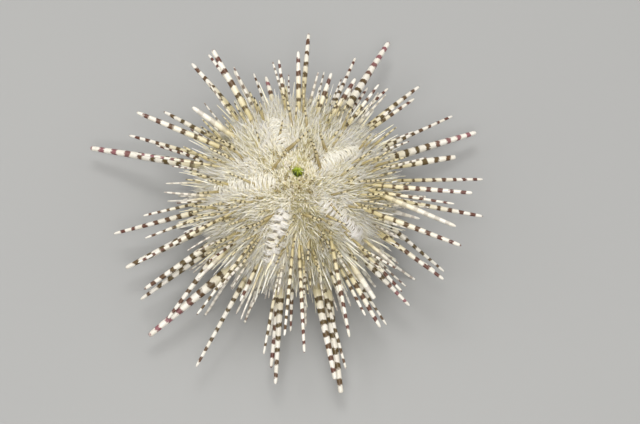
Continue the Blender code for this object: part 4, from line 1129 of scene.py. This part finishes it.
# Roots spread by the golden turn over the whole shell, without those in the bare lanes. Each needle
# leans by its own chance and by slow waves over the shell, which gather the needles into tufts
def coatRods():
    chance = np.random.default_rng(coat["seed"])
    low, high = np.sin(np.radians(coat["latitudes"]))
    step = np.arange(coat["count"])
    latitude = np.degrees(np.arcsin(low + (high - low) * (step + 0.5) / coat["count"]))
    bearing = step * goldenTurn + chance.normal(0.0, 0.5, step.size)
    latitude = latitude + chance.normal(0.0, 0.5, step.size)
    out = profileAt(latitude)[0]
    flow, away = fromCentre(bearing, out)
    aside = np.sin(np.radians(fromRay(flow))) * away
    lane = laneHalf(flow, away) * (latitude > 0)
    wave, (ventX, ventY) = np.radians(bearing), vent["offset"]
    mound = np.hypot(out * np.cos(wave) - ventX, out * np.sin(wave) - ventY + vent["clear"])
    kept = (np.abs(aside) > lane) & ((latitude < 60.0) | (mound > vent["radius"] + 0.5 * vent["clear"]))
    places = (bearing, latitude, out, flow, aside, lane)
    bearing, latitude, out, flow, aside, lane = (each[kept] for each in places)
    inRay = sectorOf(bearing)[2]
    nearLane = np.exp(-np.abs(np.abs(aside) - lane) / coat["laneEdge"]) * (lane > 0)
    crown = np.clip((out - shell["crownEdge"]) / coat["crownRun"], 0.0, 1.0)
    belly = np.clip((out - coat["bellyFrom"]) / coat["bellyRun"], 0.0, 1.0)
    size = np.where(latitude > 0, coat["crownShare"] + (1.0 - coat["crownShare"]) * crown,
                    coat["mouthShare"] + (1.0 - coat["mouthShare"]) * belly)
    girthShare = bell(latitude, coat["girthBreadth"])
    length = (coat["length"] + (coat["girthLength"] - coat["length"]) * girthShare) * size
    length = length * (1.0 + coat["lengthChance"] * np.clip(chance.normal(0.0, 1.0, size.size), -2.0, 2.4))
    kinds = np.array(coat["kinds"])
    kind = np.searchsorted(np.cumsum(kinds[:-1, 0]), chance.uniform(size=size.size))
    _, longer, wider, looser, flatter, darker, glow = kinds.T[:, kind]
    length = length * (1.0 - coat["laneShorter"] * nearLane) * longer
    wave = np.radians(bearing)
    rise = np.radians(latitude)
    tuftTurn = np.sin(23 * wave + 9 * rise) + np.sin(11 * wave - 17 * rise + 1.3)
    tuftLift = np.sin(19 * wave - 14 * rise + 0.7) + np.sin(8 * wave + 21 * rise)
    scatter = coat["scatter"] * looser
    turned = coat["tuftLean"] * tuftTurn + chance.normal(0.0, 1.0, size.size) * scatter
    turned = turned * (1.0 + np.maximum(0.0, latitude) / 45.0) * (1.0 - 0.6 * nearLane)
    turned = turned - 8.0 * nearLane * np.sign(aside)
    splay = np.interp(latitude, *np.array(coat["splays"]).T) + flatter * (latitude < 78.0)
    elevation = normalRise(bearing, latitude) - splay
    elevation = elevation + 0.6 * coat["tuftLean"] * tuftLift + chance.normal(0.0, 1.0, size.size) * scatter
    aim = aimAt(np.where(latitude > 0, flow, bearing) + turned, elevation)
    root = shellPoint(bearing, latitude)
    clear = (root[:, 2] - 0.5 * mm) / np.maximum(-aim[:, 2], 0.001)
    length = np.minimum(length, clear)
    thicker = coat["radiusChance"] * chance.normal(0.0, 1.0, size.size).clip(-2, 2)
    radius = coat["radius"] * (1.0 + thicker) * wider
    middle = 1.0 - np.abs(fromRay(flow)) / (shell["rayStep"] / 2)
    tone = coat["tone"] - coat["rayPaler"] * np.clip(middle * 1.25, 0.0, 1.0)
    tone = tone + chance.normal(0.0, coat["toneChance"], size.size) * (1.0 - 0.75 * bell(out, 8.0 * mm))
    # The sides towards the camera get a darker tone, partly olive needles and partly painted shade
    for darkest, breadth, amount in coat["darkSides"]:
        tone = tone + amount * bell(turnTo(bearing, darkest), breadth) * (latitude > 0)
    tone = tone + coat["backDarker"] * np.clip(np.sin(wave), 0.0, 1.0)
    tone = tone - coat["girthPaler"] * bell(latitude - 4.0, 18.0)
    streak = np.sin(113 * wave + 4 * rise + 2 * np.sin(7 * wave)) + np.sin(71 * wave - 11 * rise + 1.9)
    patch = np.sin(9 * wave + 13 * rise) + np.sin(14 * wave - 7 * rise + 0.4)
    # The needles' own layer adds painted shade: darker for the short needles below, paler for the long ones
    # on top
    tone = tone + coat["streak"] * streak + coat["patchiness"] * patch + darker
    aboveTone = coat["crownDarker"] * bell(out, 7.0 * mm) - coat["lanePaler"] * nearLane
    odd = chance.uniform(size=size.size) < coat["oddShare"]
    tone = np.clip(tone + aboveTone * (latitude > 0) + coat["oddDarker"] * odd, 0.0, 1.5)
    number = np.floor((bearing - shell["firstRay"] + shell["rayHalf"]) / shell["rayStep"]).astype(int) % 5
    return {"root": root, "aim": aim, "length": length, "radius": radius, "tone": tone, "glow": glow,
            "bearing": bearing, "latitude": latitude, "ray": number, "kind": inRay}


# One mesh of the needles that a mask picks. A needle has three sides, closed by a triangle at the root and
# drawn to a point at the tip, and its patch of the UV map lies at its root's place on the shell's unwrap
def coatPiece(name, needles, picked, look):
    keys = ("root", "aim", "length", "radius", "tone", "glow", "bearing", "latitude")
    root, aim, length, radius, tone, glow, bearing, latitude = (needles[key][picked] for key in keys)
    share, factor = np.array(coat["rings"]).T
    count, rings = len(root), len(share)
    along = -coat["sink"] + (length[:, None] + coat["sink"]) * share
    side = sidewaysOf(aim)
    up = np.cross(aim, side)
    angle = np.arange(3)[:, None] * 2.0 * math.pi / 3.0
    spokes = np.cos(angle) * side[:, None] + np.sin(angle) * up[:, None]
    centre = root[:, None] + aim[:, None] * along[..., None]
    grid = centre[:, :, None] + spokes[:, None] * (radius[:, None] * factor)[..., None, None]
    ends = (root + aim * length[:, None])[:, None]
    points = np.concatenate((grid.reshape(count, rings * 3, 3), ends), axis=1)
    # Corners of one needle, with their places in its patch, where the root's triangle lies below the sides
    corners, places, sizes = [0, 2, 1], [(0.1, 0.0), (0.9, 0.0), (0.5, 0.09)], [3]
    for ring in range(rings):
        low, high = 0.1 + 0.9 * share[ring], 0.1 + 0.9 * share[ring + 1] if ring + 1 < rings else 1.0
        for face in range(3):
            here, following = 3 * ring + face, 3 * ring + (face + 1) % 3
            places += [(face / 3, low), ((face + 1) / 3, low)]
            corners += [here, following]
            if ring + 1 < rings:
                corners += [following + 3, here + 3]
                places += [((face + 1) / 3, high), (face / 3, high)]
                sizes.append(4)
            else:
                corners.append(3 * rings)
                places.append(((face + 0.5) / 3, high))
                sizes.append(3)
    width = 3 * rings + 1
    corners = (np.arange(count)[:, None] * width + np.array(corners)).ravel()
    middle = np.stack(unwrapAt(bearing, latitude), axis=-1)
    uv = (middle[:, None] + coat["patch"] * (np.array(places) - 0.5)).reshape(-1, 2)
    rise = np.tile(np.append(np.repeat(share, 3), 1.0), count)
    traits = {"tone": np.repeat(tone, width), "rise": rise}
    # Light falls on the needles partly as on the shell below, which gives the glow of thin calcite
    own = np.broadcast_to(spokes[:, None], grid.shape).reshape(count, rings * 3, 3)
    own = np.concatenate((own, aim[:, None]), axis=1)
    glow = np.broadcast_to(glow[:, None, None], own.shape[:2] + (1,))
    limb = np.clip(1.0 - np.abs(latitude - 18.0) / 26.0, 0.0, 1.0)
    broad = broadAt(bearing, latitude, coat["lift"] + coat["limbLift"] * limb)[:, None]
    normals = unit(glow * broad + (1.0 - glow) * own).reshape(-1, 3)
    return meshPiece(name, points.reshape(-1, 3), corners, np.tile(sizes, count), look, uv, traits, normals)


needles = coatRods()
coatPieces = []
for kind, label in ((1.0, "rayCoat"), (0.0, "betweenCoat")):
    for number in range(5):
        picked = (needles["ray"] == number) & (needles["kind"] == kind)
        coatPieces.append(coatPiece(f"{label}_{number + 1}", needles, picked, needleFinish))
print("stage: coat of", len(needles["tone"]), "needles in", len(coatPieces), "pieces")

# The skin of the shell under the coat
skin = {
    "columns": 600,
    "rows": 104,
    "tubercleRadius": 0.75 * mm,
    "tubercleHeight": 0.42 * mm,
    "plateBetween": 2.1 * mm,
    "plateRay": 1.05 * mm,
    "sutureDepth": 0.10 * mm,
    "sutureWidth": 0.13 * mm,
    "laneDepth": 0.28 * mm,
    "poreDepth": 0.22 * mm,
    "poreInset": 1.1 * mm,
    "rimDrop": 0.8 * mm,
}


# The skin is the shell's profile turned round its axis, with a boss under each spine, grooves between
# the plates, a sunken lane up each ray and pits beside it, and it is closed under the crown and the mouth
def shellSkin():
    high, low = latitudeAt(shell["crownEdge"], 1), latitudeAt(shell["mouthEdge"], -1)
    bearing = np.arange(skin["columns"]) * 360.0 / skin["columns"]
    latitude, bearing = np.meshgrid(np.linspace(high, low, skin["rows"]), bearing, indexing="ij")
    out, height = profileAt(latitude)
    step = np.hypot(np.diff(out[:, 0]), np.diff(height[:, 0]))
    meridian = np.concatenate(((0.0,), np.cumsum(step)))[:, None] + 0 * bearing
    flow, away = fromCentre(bearing, out)
    aside = np.sin(np.radians(fromRay(flow))) * away
    bare = laneHalf(flow, away) * (latitude > 0)
    middle, half, inRay = sectorOf(bearing)
    offset = np.abs(turnTo(bearing, middle))
    plate = np.where(inRay > 0, skin["plateRay"], skin["plateBetween"])
    shifted = meridian + np.where(bearing > middle, 0.5, 0.0) * plate
    crossEdge = np.abs((shifted / plate) % 1.0 - 0.5) * plate
    sideEdge = np.radians(half - offset) * out
    midEdge = np.radians(offset) * out + 0.25 * plate * np.cos(2 * math.pi * shifted / plate)
    edge = np.minimum(np.minimum(0.5 * plate - crossEdge, sideEdge), np.abs(midEdge))
    suture = bell(edge, skin["sutureWidth"])
    lane = np.clip(1.0 - np.abs(aside) / (bare + 1e-9), 0.0, 1.0) ** 0.5 * (bare > 0)
    poreAway = np.hypot(sideEdge - skin["poreInset"], ((meridian / (0.8 * mm)) % 1.0 - 0.5) * 0.8 * mm)
    pore = bell(poreAway, 0.2 * mm) * inRay
    place = shellPoint(bearing, latitude)
    roots = np.concatenate((girthSpines["root"], upperRoots["root"], underRoots["root"]))
    radii = np.concatenate((girthSpines["radius"][:, 5], upperRoots["radius"], underRoots["radius"]))
    sizes = radii / (0.5 * mm)
    boss = np.zeros(bearing.shape)
    for root, size in zip(roots, sizes):
        away = np.linalg.norm(place - root, axis=-1) / (skin["tubercleRadius"] * size)
        boss = np.maximum(boss, size * bell(away))
    lift = skin["tubercleHeight"] * boss - skin["sutureDepth"] * suture - skin["laneDepth"] * lane
    lift = lift - skin["poreDepth"] * pore
    fade = np.clip(np.minimum(meridian, meridian[-1] - meridian) / (1.0 * mm), 0.0, 1.0)
    grid = shellPoint(bearing, latitude, lift * fade)
    # The lane's share is darker skin and painted shade in the sunken lane under the lobes
    pitAndShade = np.clip(0.75 * suture + pore + 0.35 * lane, 0.0, 1.0)
    # One more row at each end, under the crown plates and over the mouth, closed by a pole
    drop = skin["rimDrop"] * upAxis
    grid = np.concatenate((grid[:1] - drop, grid, grid[-1:] + drop))
    ray = (np.abs(aside) < bare + 1.5 * mm).astype(float)
    traits = {"ray": np.pad(ray, ((1, 1), (0, 0))), "pitAndShade": np.pad(pitAndShade, ((1, 1), (0, 0)))}
    return turnedPiece("shellSkin", grid, shellLook(), traits, poles=(True, True))


skinPiece = shellSkin()
print("stage: skin of the shell")

# White lobes that arch over the bare lane of each ray. Each is a close row of needles, highest in its middle
lobes = {
    # For each ray: the spacing of the lobes and their own width along the lane in mm, how many needles they
    # have, whether they stand in two columns, half the length of an arch in mm, how lilac they are, and how
    # dark the needles at their edges are, which is painted shade between the lobes and, where it is whole,
    # dark slits of darker skin and painted shade
    "kinds": ((1.0, 0.95, 8, 0, 1.80, 0.0, 0.7), (1.0, 0.95, 8, 0, 1.95, 0.0, 0.6),
              (1.05, 1.0, 8, 0, 2.15, 0.0, 0.55), (2.1, 1.85, 15, 1, 2.30, 0.35, 1.0),
              (1.2, 1.1, 9, 0, 2.40, 0.35, 0.75)),
    "heights": (1.0, 1.25, 1.0, 1.0, 1.0),  # share of the height below, ray by ray
    "overlap": 0.7 * mm,  # how far the needles of a column start on the other side of the lane's middle
    "height": 2.5 * mm,
    "edgeDrop": 0.34,  # how much lower the needles at a lobe's edge are
    "endShare": 0.6,  # height of an arch's end over the shell, as a share of its middle's
    "down": 0.25 * mm,
    "radius": 0.135 * mm,
    "shake": 0.26,
    "glow": 0.5,
    "lift": 0.5,
    "rings": ((0.0, 0.8), (0.12, 0.95), (0.3, 1.0), (0.5, 1.0), (0.68, 0.9), (0.84, 0.7), (0.95, 0.4),
              (1.0, 0.15)),
    "sides": 5,
}


# Each needle is an arch: it rises from one side of the lane by 4 h - e and falls by 2 e - 4 h times the
# square of its share, so it is h high in the middle and e at its end. In one column it crosses the whole lane
def lobeRods():
    sets = []
    for ray, (spacing, width, hairs, columns, reach, tone, edgeShadeAndSlit) in enumerate(lobes["kinds"]):
        first, last = lanes["spans"][ray]
        heading = outward(np.array(shell["firstRay"] + ray * shell["rayStep"]))
        # How long the shell is along the ray, from its start to each of many places on it
        line = lanes["centre"] + heading * (np.linspace(first, last, 200) * mm)[:, None]
        out = np.hypot(line[:, 0], line[:, 1])
        line[:, 2] = crownHeight(out)
        run = np.concatenate(((0.0,), np.cumsum(np.linalg.norm(np.diff(line, axis=0), axis=1))))
        standing = np.array((-1, 1) if columns else (0,))
        along = np.arange(int(run[-1] / mm / spacing))
        side, step, hair = np.meshgrid(standing, along, np.arange(hairs), indexing="ij")
        edge = 2.0 * hair / (hairs - 1) - 1.0
        wanted = (step + 0.25 * side + 0.5) * spacing + 0.5 * edge * (width - 2.0 * lobes["radius"] / mm)
        distance = np.interp(wanted * mm, run, np.linspace(first, last, 200) * mm)
        lobe = ray * 100 + step * 3 + side
        steady = [each + 0.0 * wanted for each in (ray, reach * mm, tone, edgeShadeAndSlit)]
        sets.append(np.stack([each.ravel() for each in (side, distance, hair, edge, lobe, *steady)]))
    column, distance, hair, edge, lobe, ray, reach, tone, edgeShadeAndSlit = np.concatenate(sets, axis=1)
    index = np.arange(ray.size)
    heading = shell["firstRay"] + ray * shell["rayStep"]
    distance = distance + 0.05 * mm * vary(index, 20)
    side = np.where(column == 0, np.where(hair % 2 > 0, 1.0, -1.0), column)
    whole = np.array(lanes["halves"])[ray.astype(int)] * mm
    narrow = (0.3 + 0.7 * laneHalf(heading, distance) / whole) * (1.0 + 0.12 * vary(lobe, 22))
    start = -side * np.where(column == 0, reach, lobes["overlap"]) * narrow
    end = side * reach * narrow * (1.0 + 1.5 * lobes["shake"] * vary(index, 26))
    across = outward(heading + 90.0)
    place = lanes["centre"] + outward(heading) * distance[:, None] + across * start[:, None]
    bearing = np.degrees(np.arctan2(place[:, 1], place[:, 0]))
    latitude = latitudeAt(np.hypot(place[:, 0], place[:, 1]), 1)
    normal = shellNormal(bearing, latitude)
    down = np.cross(across, normal)
    down = down * np.sign(-down[:, 2:])
    tall = lobes["height"] * np.array(lobes["heights"])[ray.astype(int)]
    top = tall * narrow * (1.0 - lobes["edgeDrop"] * edge**2 + 0.4 * lobes["shake"] * vary(index, 27))
    low = top * lobes["endShare"]
    level = across - normal * np.sum(across * normal, axis=1, keepdims=True)
    rise = level * (end - start)[:, None] + normal * (4.0 * top - low)[:, None]
    sunk = down * (lobes["down"] * (1.0 + vary(index, 28)))[:, None]
    bend = normal * (2.0 * low - 4.0 * top)[:, None] + sunk
    length = np.linalg.norm(rise, axis=1)
    share, shape = np.array(lobes["rings"]).T
    radius = lobes["radius"] * (1.0 + 0.2 * vary(index, 23))
    root, rings = shellPoint(bearing, latitude, -0.1 * mm), (length[:, None] * share, radius[:, None] * shape)
    # The darkness of the edges is painted shade between the lobes, and at the slits darker skin as well
    traits = {"tone": tone * (1.0 + 0.4 * vary(lobe, 24)), "edgeShadeAndSlit": edgeShadeAndSlit * edge**6}
    broad = broadAt(bearing, latitude, lobes["lift"])
    return rodSet(root, rise / length[:, None], rings, bend, traits, broad=broad)


lobePiece = rodPiece("rayLobes", lobeRods(), lobeLook(), lobes, 40, lobes["glow"])
print("stage: lobes of the rays")

# Plates round the vent
crown = {
    "columns": 300,
    "rows": 28,
    "swell": 0.34 * mm,
    "edgeWidth": 0.28 * mm,
    "eyeInner": 3.7 * mm,  # the small outer plates on the rays reach in to here
    "eyeHalf": 13.0,
    "poreAt": 4.25 * mm,
    "skirt": 1.6 * mm,
}


# Points at bearings, distances from the axis and heights
def ringPoints(bearing, reach, height):
    grid = outward(bearing) * reach[..., None] + axisPoint
    grid[..., 2] = height
    return grid


# A ring of plates: the shell's crown plus a swell that dies away at each suture. The sutures lie on the
# rays inside, and round the small outer plates that sit on the rays
def crownPlates():
    inner, outer = shell["ventEdge"] + shell["gap"] / 2, shell["crownEdge"] - shell["gap"] / 2
    bearing = np.arange(crown["columns"]) * 360.0 / crown["columns"]
    reach, bearing = np.meshgrid(np.linspace(inner, outer, crown["rows"]), bearing, indexing="ij")
    away = np.abs(fromRay(bearing))
    eyeEdge = np.maximum(np.radians(away - crown["eyeHalf"]) * reach, crown["eyeInner"] - reach)
    seam = np.where(reach < crown["eyeInner"], np.radians(away) * reach, crown["eyeInner"])
    edge = np.minimum(np.minimum(np.abs(eyeEdge), seam), np.minimum(outer - reach, reach - inner) + 0.05 * mm)
    pore = np.hypot(reach - crown["poreAt"], np.radians(away - shell["rayStep"] / 2) * reach)
    pore = bell(pore, 0.22 * mm)
    swell = crown["swell"] * (1.0 - np.exp(-edge / crown["edgeWidth"]))
    height = crownHeight(reach) + swell - 0.3 * mm * pore
    grid = ringPoints(bearing, reach, height)
    skirt = crown["skirt"] * upAxis
    grid = np.concatenate((grid[:1] - skirt, grid, grid[-1:] - skirt))
    pitAndShade = (0.8 * np.exp(-edge / (0.10 * mm)) + pore).clip(0.0, 1.0)
    return turnedPiece("crownPlates", grid, plateLook(), {"pitAndShade": np.pad(pitAndShade, ((1, 1), (0, 0)))}, joins=True)


ventRim = profileAt(latitudeAt(shell["ventEdge"], 1))[1]


# A low dome covered with scales: each point is raised by its distance from the edge between the two
# nearest of the scales' middles, which are spread by the golden turn
def ventMembrane():
    outer = shell["ventEdge"] - shell["gap"] / 2
    bearing = np.arange(vent["columns"]) * 360.0 / vent["columns"]
    reach, bearing = np.meshgrid(np.linspace(0.04 * outer, outer, vent["rows"]), bearing, indexing="ij")
    flat = outward(bearing) * reach[..., None]
    number = np.arange(vent["scales"])
    middles = outward(number * goldenTurn) * (outer * np.sqrt((number + 0.5) / vent["scales"]))[:, None]
    away = np.sort(np.linalg.norm(flat[:, :, None] - middles, axis=-1), axis=-1)
    edge = (away[..., 1] - away[..., 0]) / 2
    dome = vent["rise"] * (1.0 - (reach / outer) ** 2)
    scale = vent["scaleHeight"] * (1.0 - np.exp(-edge / (0.09 * mm)))
    grid = ringPoints(bearing, reach, ventRim + dome + scale)
    grid = np.concatenate((grid, grid[-1:] - crown["skirt"] * upAxis))
    pitAndShade = np.pad(1.0 - np.exp(-edge / (0.08 * mm)), ((0, 1), (0, 0)))
    traits = {"pitAndShade": 0.3 * pitAndShade, "lime": 0.75 + 0 * pitAndShade}
    return turnedPiece("ventMembrane", grid, skinFinish, traits, poles=(True, True))


# The green vent: a lumpy mound with a hollow in its middle. Its colour trait is painted light and shade: it
# falls from the side away from the camera, painted light, to the side towards it, painted shade, and is a
# little higher where the mound swells
def ventMound():
    bearing = np.arange(vent["columns"]) * 360.0 / vent["columns"]
    share, bearing = np.meshgrid(np.linspace(0.03, 1.0, vent["rows"]), bearing, indexing="ij")
    angle = np.radians(bearing)
    lump = 1.0 + 0.05 * np.sin(vent["lobes"] * angle + 0.6) + 0.05 * np.sin(3 * angle)
    reach = vent["radius"] * share * (1.0 + vent["oval"] * np.cos(2 * angle)) * lump
    height = vent["height"] * (np.cos(0.5 * math.pi * share**2.2) - 0.25 * bell(share, 0.3)) * lump
    floor = ventRim + vent["rise"] - 0.15 * mm
    grid = ringPoints(bearing, reach, floor + height) + np.array((*vent["offset"], 0.0))
    # Painted light and shade: higher, so lighter, on the side away from the camera, lower on the side towards
    # it
    pitAndShade = np.clip(0.56 + 0.50 * share * np.sin(angle + 0.3) + 2.0 * (lump - 1.0), 0.0, 1.0)
    return turnedPiece("ventMound", grid, ventLook(), {"pitAndShade": pitAndShade}, poles=(True, True))


# Small spines on the crown plates, nearly upright, whose dark tips show as dots from above
spinelets = {
    "count": 52,
    "places": np.array((  # x and y in mm from the axis of those that are placed one by one
        (-2.2, -1.9), (-1.4, -2.3), (-3.8, -2.9), (-0.8, -3.8), (1.1, -3.3), (2.0, -3.4), (1.1, -4.8),
        (2.7, -1.8), (-1.1, 0.0), (3.6, -5.6), (-2.5, 3.9), (3.4, 3.4), (-2.3, -2.6), (-0.9, -4.4))),
    "inner": 1.9 * mm,
    "outer": 7.5 * mm,
    "length": 2.0 * mm,
    "radius": 0.25 * mm,
    "taper": 0.6,
    "lean": 16.0,
    "foot": ((-0.4, 0.9), (0.0, 1.0), (0.25, 1.3), (0.5, 1.1)),
    "steps": 5,
    "sides": 8,
}


def spineletRods():
    index = np.arange(spinelets["count"])
    bearing = index * goldenTurn + 14.0 * vary(index, 30)
    share = (index + 0.5) / spinelets["count"]
    reach = np.sqrt(spinelets["inner"] ** 2 + share * (spinelets["outer"] ** 2 - spinelets["inner"] ** 2))
    placed = spinelets["places"] * mm
    picked = index < len(placed)
    reach[picked] = np.hypot(*placed.T)
    bearing[picked] = np.degrees(np.arctan2(placed[:, 1], placed[:, 0]))
    length = spinelets["length"] * np.where(picked, 1.25, 1.0 + 0.45 * vary(index, 31))
    radius = spinelets["radius"] * np.where(picked, 1.25, 1.0 + 0.2 * vary(index, 32))
    lean = spinelets["lean"] * np.where(picked, 0.4, 1.2 + vary(index, 34))
    aim = aimAt(bearing + 60.0 * vary(index, 33), 90.0 - lean)
    root = ringPoints(bearing, reach, crownHeight(reach) + 0.1 * mm)
    pitch = 0.9 + 0.2 * vary(index, 35)
    traits = {"pitch": pitch, "phase": tipPhase(length, pitch, index), "banding": 1.0 + 0 * radius,
              "coated": 0.1 + 0 * radius, "tone": 0.5 + 0.5 * vary(index, 38), "reach": length / mm}
    return rodSet(root, aim, shaftRings(length, radius, 0.7, spinelets), 0 * aim, traits)


platePiece = crownPlates()
membranePiece = ventMembrane()
ventPiece = ventMound()
spineletPiece = rodPiece("crownSpinelets", spineletRods(), oliveFinish, spinelets, 10)
print("stage: crown plates, vent and spinelets")

# The mouth's membrane and the five teeth
mouth = {
    "columns": 240,
    "rows": 30,
    "thickness": 1.4 * mm,
    "wrinkles": 46,
    "wrinkleDepth": 0.09 * mm,
    "padAt": 4.7 * mm,  # five pairs of small pads, one pair on each ray
    "padAside": 9.0,
    "padRadius": 0.55 * mm,
    "padHeight": 0.35 * mm,
    "toothDrop": 1.3 * mm,
    "toothLength": 4.2 * mm,
    "toothWidth": 1.5 * mm,
    "toothTip": 0.5 * mm,
    "toothRows": 22,
    "toothColumns": 20,
}


mouthRim = float(profileAt(latitudeAt(shell["mouthEdge"], -1))[1])


# A ring of skin that sags towards the teeth, wrinkled outwards from them, with five pairs of round pads
def mouthMembrane():
    outer, inner = shell["mouthEdge"] - shell["gap"] / 2, shell["gullet"]
    bearing = np.arange(mouth["columns"]) * 360.0 / mouth["columns"]
    reach, bearing = np.meshgrid(np.linspace(outer, inner, mouth["rows"]), bearing, indexing="ij")
    share = (outer - reach) / (outer - inner)
    sag = shell["membraneSag"] * np.sin(0.5 * math.pi * np.minimum(1.0, 1.25 * share))
    wrinkle = np.sin(mouth["wrinkles"] * np.radians(bearing) + 3.0 * share) * (0.3 + 0.7 * share)
    fold = np.sin(26.0 * share + 0.8 * np.sin(5 * np.radians(bearing)))
    away = np.abs(fromRay(bearing)) - mouth["padAside"]
    pad = np.exp(-((np.hypot(reach - mouth["padAt"], np.radians(away) * reach) / mouth["padRadius"]) ** 4))
    sag = sag + mouth["wrinkleDepth"] * (wrinkle + 0.5 * fold) + mouth["padHeight"] * pad
    grid = ringPoints(bearing, reach, mouthRim - sag)
    top = mouthRim + mouth["thickness"]
    inside, outside = ringPoints(bearing[-1:], reach[-1:], top), ringPoints(bearing[:1], reach[:1], top)
    grid = np.concatenate((outside, grid, inside))
    pitAndShade = np.pad(np.clip(0.5 + 0.5 * wrinkle * share, 0.0, 1.0) * 0.5 + 0.4 * pad, ((1, 1), (0, 0)))
    return turnedPiece("mouthMembrane", grid, skinFinish, {"pitAndShade": pitAndShade, "lime": 0 * pitAndShade}, joins=True)


# A tooth: a section between a square and a circle, with a keel towards the axis, that narrows and
# leans in from its root to its chisel tip
def toothPiece(number):
    bearing = shell["firstRay"] + shell["rayStep"] * (number + 0.5)
    out, aside = outward(bearing), outward(bearing + 90.0)
    share = np.linspace(1.0, 0.0, mouth["toothRows"])[:, None]
    turn = np.arange(mouth["toothColumns"]) * 2.0 * math.pi / mouth["toothColumns"]
    widened = np.minimum(1.0, share / 0.45) ** 0.8
    width = mouth["toothTip"] + (mouth["toothWidth"] - mouth["toothTip"]) * widened
    back = shell["gullet"] * (0.40 + 0.42 * share**0.6)
    depth = back * 0.42
    cosine, sine = np.cos(turn), np.sin(turn)
    inwards, sideways = (np.sign(each) * np.abs(each) ** 0.6 for each in (cosine, sine))
    keel = np.where(cosine < 0, 1.0 - 0.55 * np.abs(cosine), 1.0)
    along = back - depth / 2 + inwards * depth / 2
    tip = mouthRim - shell["membraneSag"] - mouth["toothDrop"]
    height = tip + mouth["toothLength"] * share + 0 * turn
    height = height + 0.25 * mm * (1.0 - share) ** 3 * (1.0 - inwards) / 2
    grid = along[..., None] * out + (sideways * keel * width / 2)[..., None] * aside + axisPoint
    grid[..., 2] = height
    return turnedPiece(f"whiteTooth_{number + 1}", grid, toothFinish, {}, poles=(True, True))


mouthPiece = mouthMembrane()
toothFinish = toothLook()
teeth = [toothPiece(number) for number in range(5)]
print("stage: mouth and teeth")

# Every piece rides on the one body, and the solids that the pieces stand for are hidden
sectorNodes = [f"{kind}_{number + 1}" for kind in ("ambulacrum", "interambulacrum") for number in range(5)]
slots = {
    "shell": (skinPiece, girthPiece, outerPiece, upperPiece, underPiece, crownSpinePiece, sidePiece,
              dottedPiece, lobePiece, *coatPieces),
    "crown": (platePiece, spineletPiece),
    "membrane": (membranePiece, ventPiece, mouthPiece),
    "tooth": teeth,
}
for slotName, pieces in slots.items():
    for piece in pieces:
        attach(piece, "root")
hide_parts(*sectorNodes)
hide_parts("apical_disc")
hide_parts("periproct")
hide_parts("peristome")
for number, tooth in enumerate(teeth):
    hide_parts(f"tooth_{number + 1}")

# Floor, lights and camera
studio = {
    "floorHalf": 1.5,
    "worldLight": 0.45,
    "worldColour": (1.0, 0.98, 0.95, 1.0),
    "sensor": 36.0,
    # Name, power, size, and place as bearing, elevation and distance from the animal
    "lights": (("keyLight", 1.50, 0.24, 95.0, 72.0, 0.60), ("frontLight", 1.55, 0.26, 268.0, 62.0, 0.60),
               ("sideLight", 0.60, 0.40, 175.0, 40.0, 0.70), ("fillLight", 0.50, 0.40, 5.0, 40.0, 0.70)),
}


def makeFloor():
    half = studio["floorHalf"]
    points = np.array(((-half, -half, 0), (half, -half, 0), (half, half, 0), (-half, half, 0)), float)
    made = meshPiece("paleFloor", points, np.arange(4), np.array((4,)), floorLook())


def makeLights():
    world = bpy.data.worlds.new("studio")
    bpy.context.scene.world = world
    world.use_nodes = True
    background = world.node_tree.nodes["Background"].inputs
    background["Color"].default_value = studio["worldColour"]
    background["Strength"].default_value = studio["worldLight"]
    target = Vector(axisPoint) + Vector((0.0, 0.0, shell["girthHeight"]))
    for name, power, size, bearing, elevation, distance in studio["lights"]:
        light = bpy.data.lights.new(name, "AREA")
        light.energy, light.size = power, size
        lamp = bpy.data.objects.new(name, light)
        away = Vector(aimAt(bearing, elevation))
        lamp.location = target + away * distance
        lamp.rotation_euler = away.to_track_quat("Z", "Y").to_euler()
        bpy.context.scene.collection.objects.link(lamp)


# The camera looks from the -Y side down at the animal, and the girth's middle falls on its pixel
def makeCamera():
    back = Vector(viewAxes()[0])
    middle = Vector(axisPoint + viewMiddle())
    lens = bpy.data.cameras.new("camera")
    lens.sensor_width = studio["sensor"]
    lens.lens = studio["sensor"] * view["distance"] / (view["size"][0] * view["pixel"])
    lens.clip_start = 0.01
    camera = bpy.data.objects.new("camera", lens)
    camera.location = middle + back * view["distance"]
    camera.rotation_euler = back.to_track_quat("Z", "Y").to_euler()
    bpy.context.scene.collection.objects.link(camera)
    bpy.context.scene.camera = camera


makeFloor()
makeLights()
makeCamera()
bpy.context.scene.view_settings.view_transform = "Standard"
print("stage: floor, lights and camera")
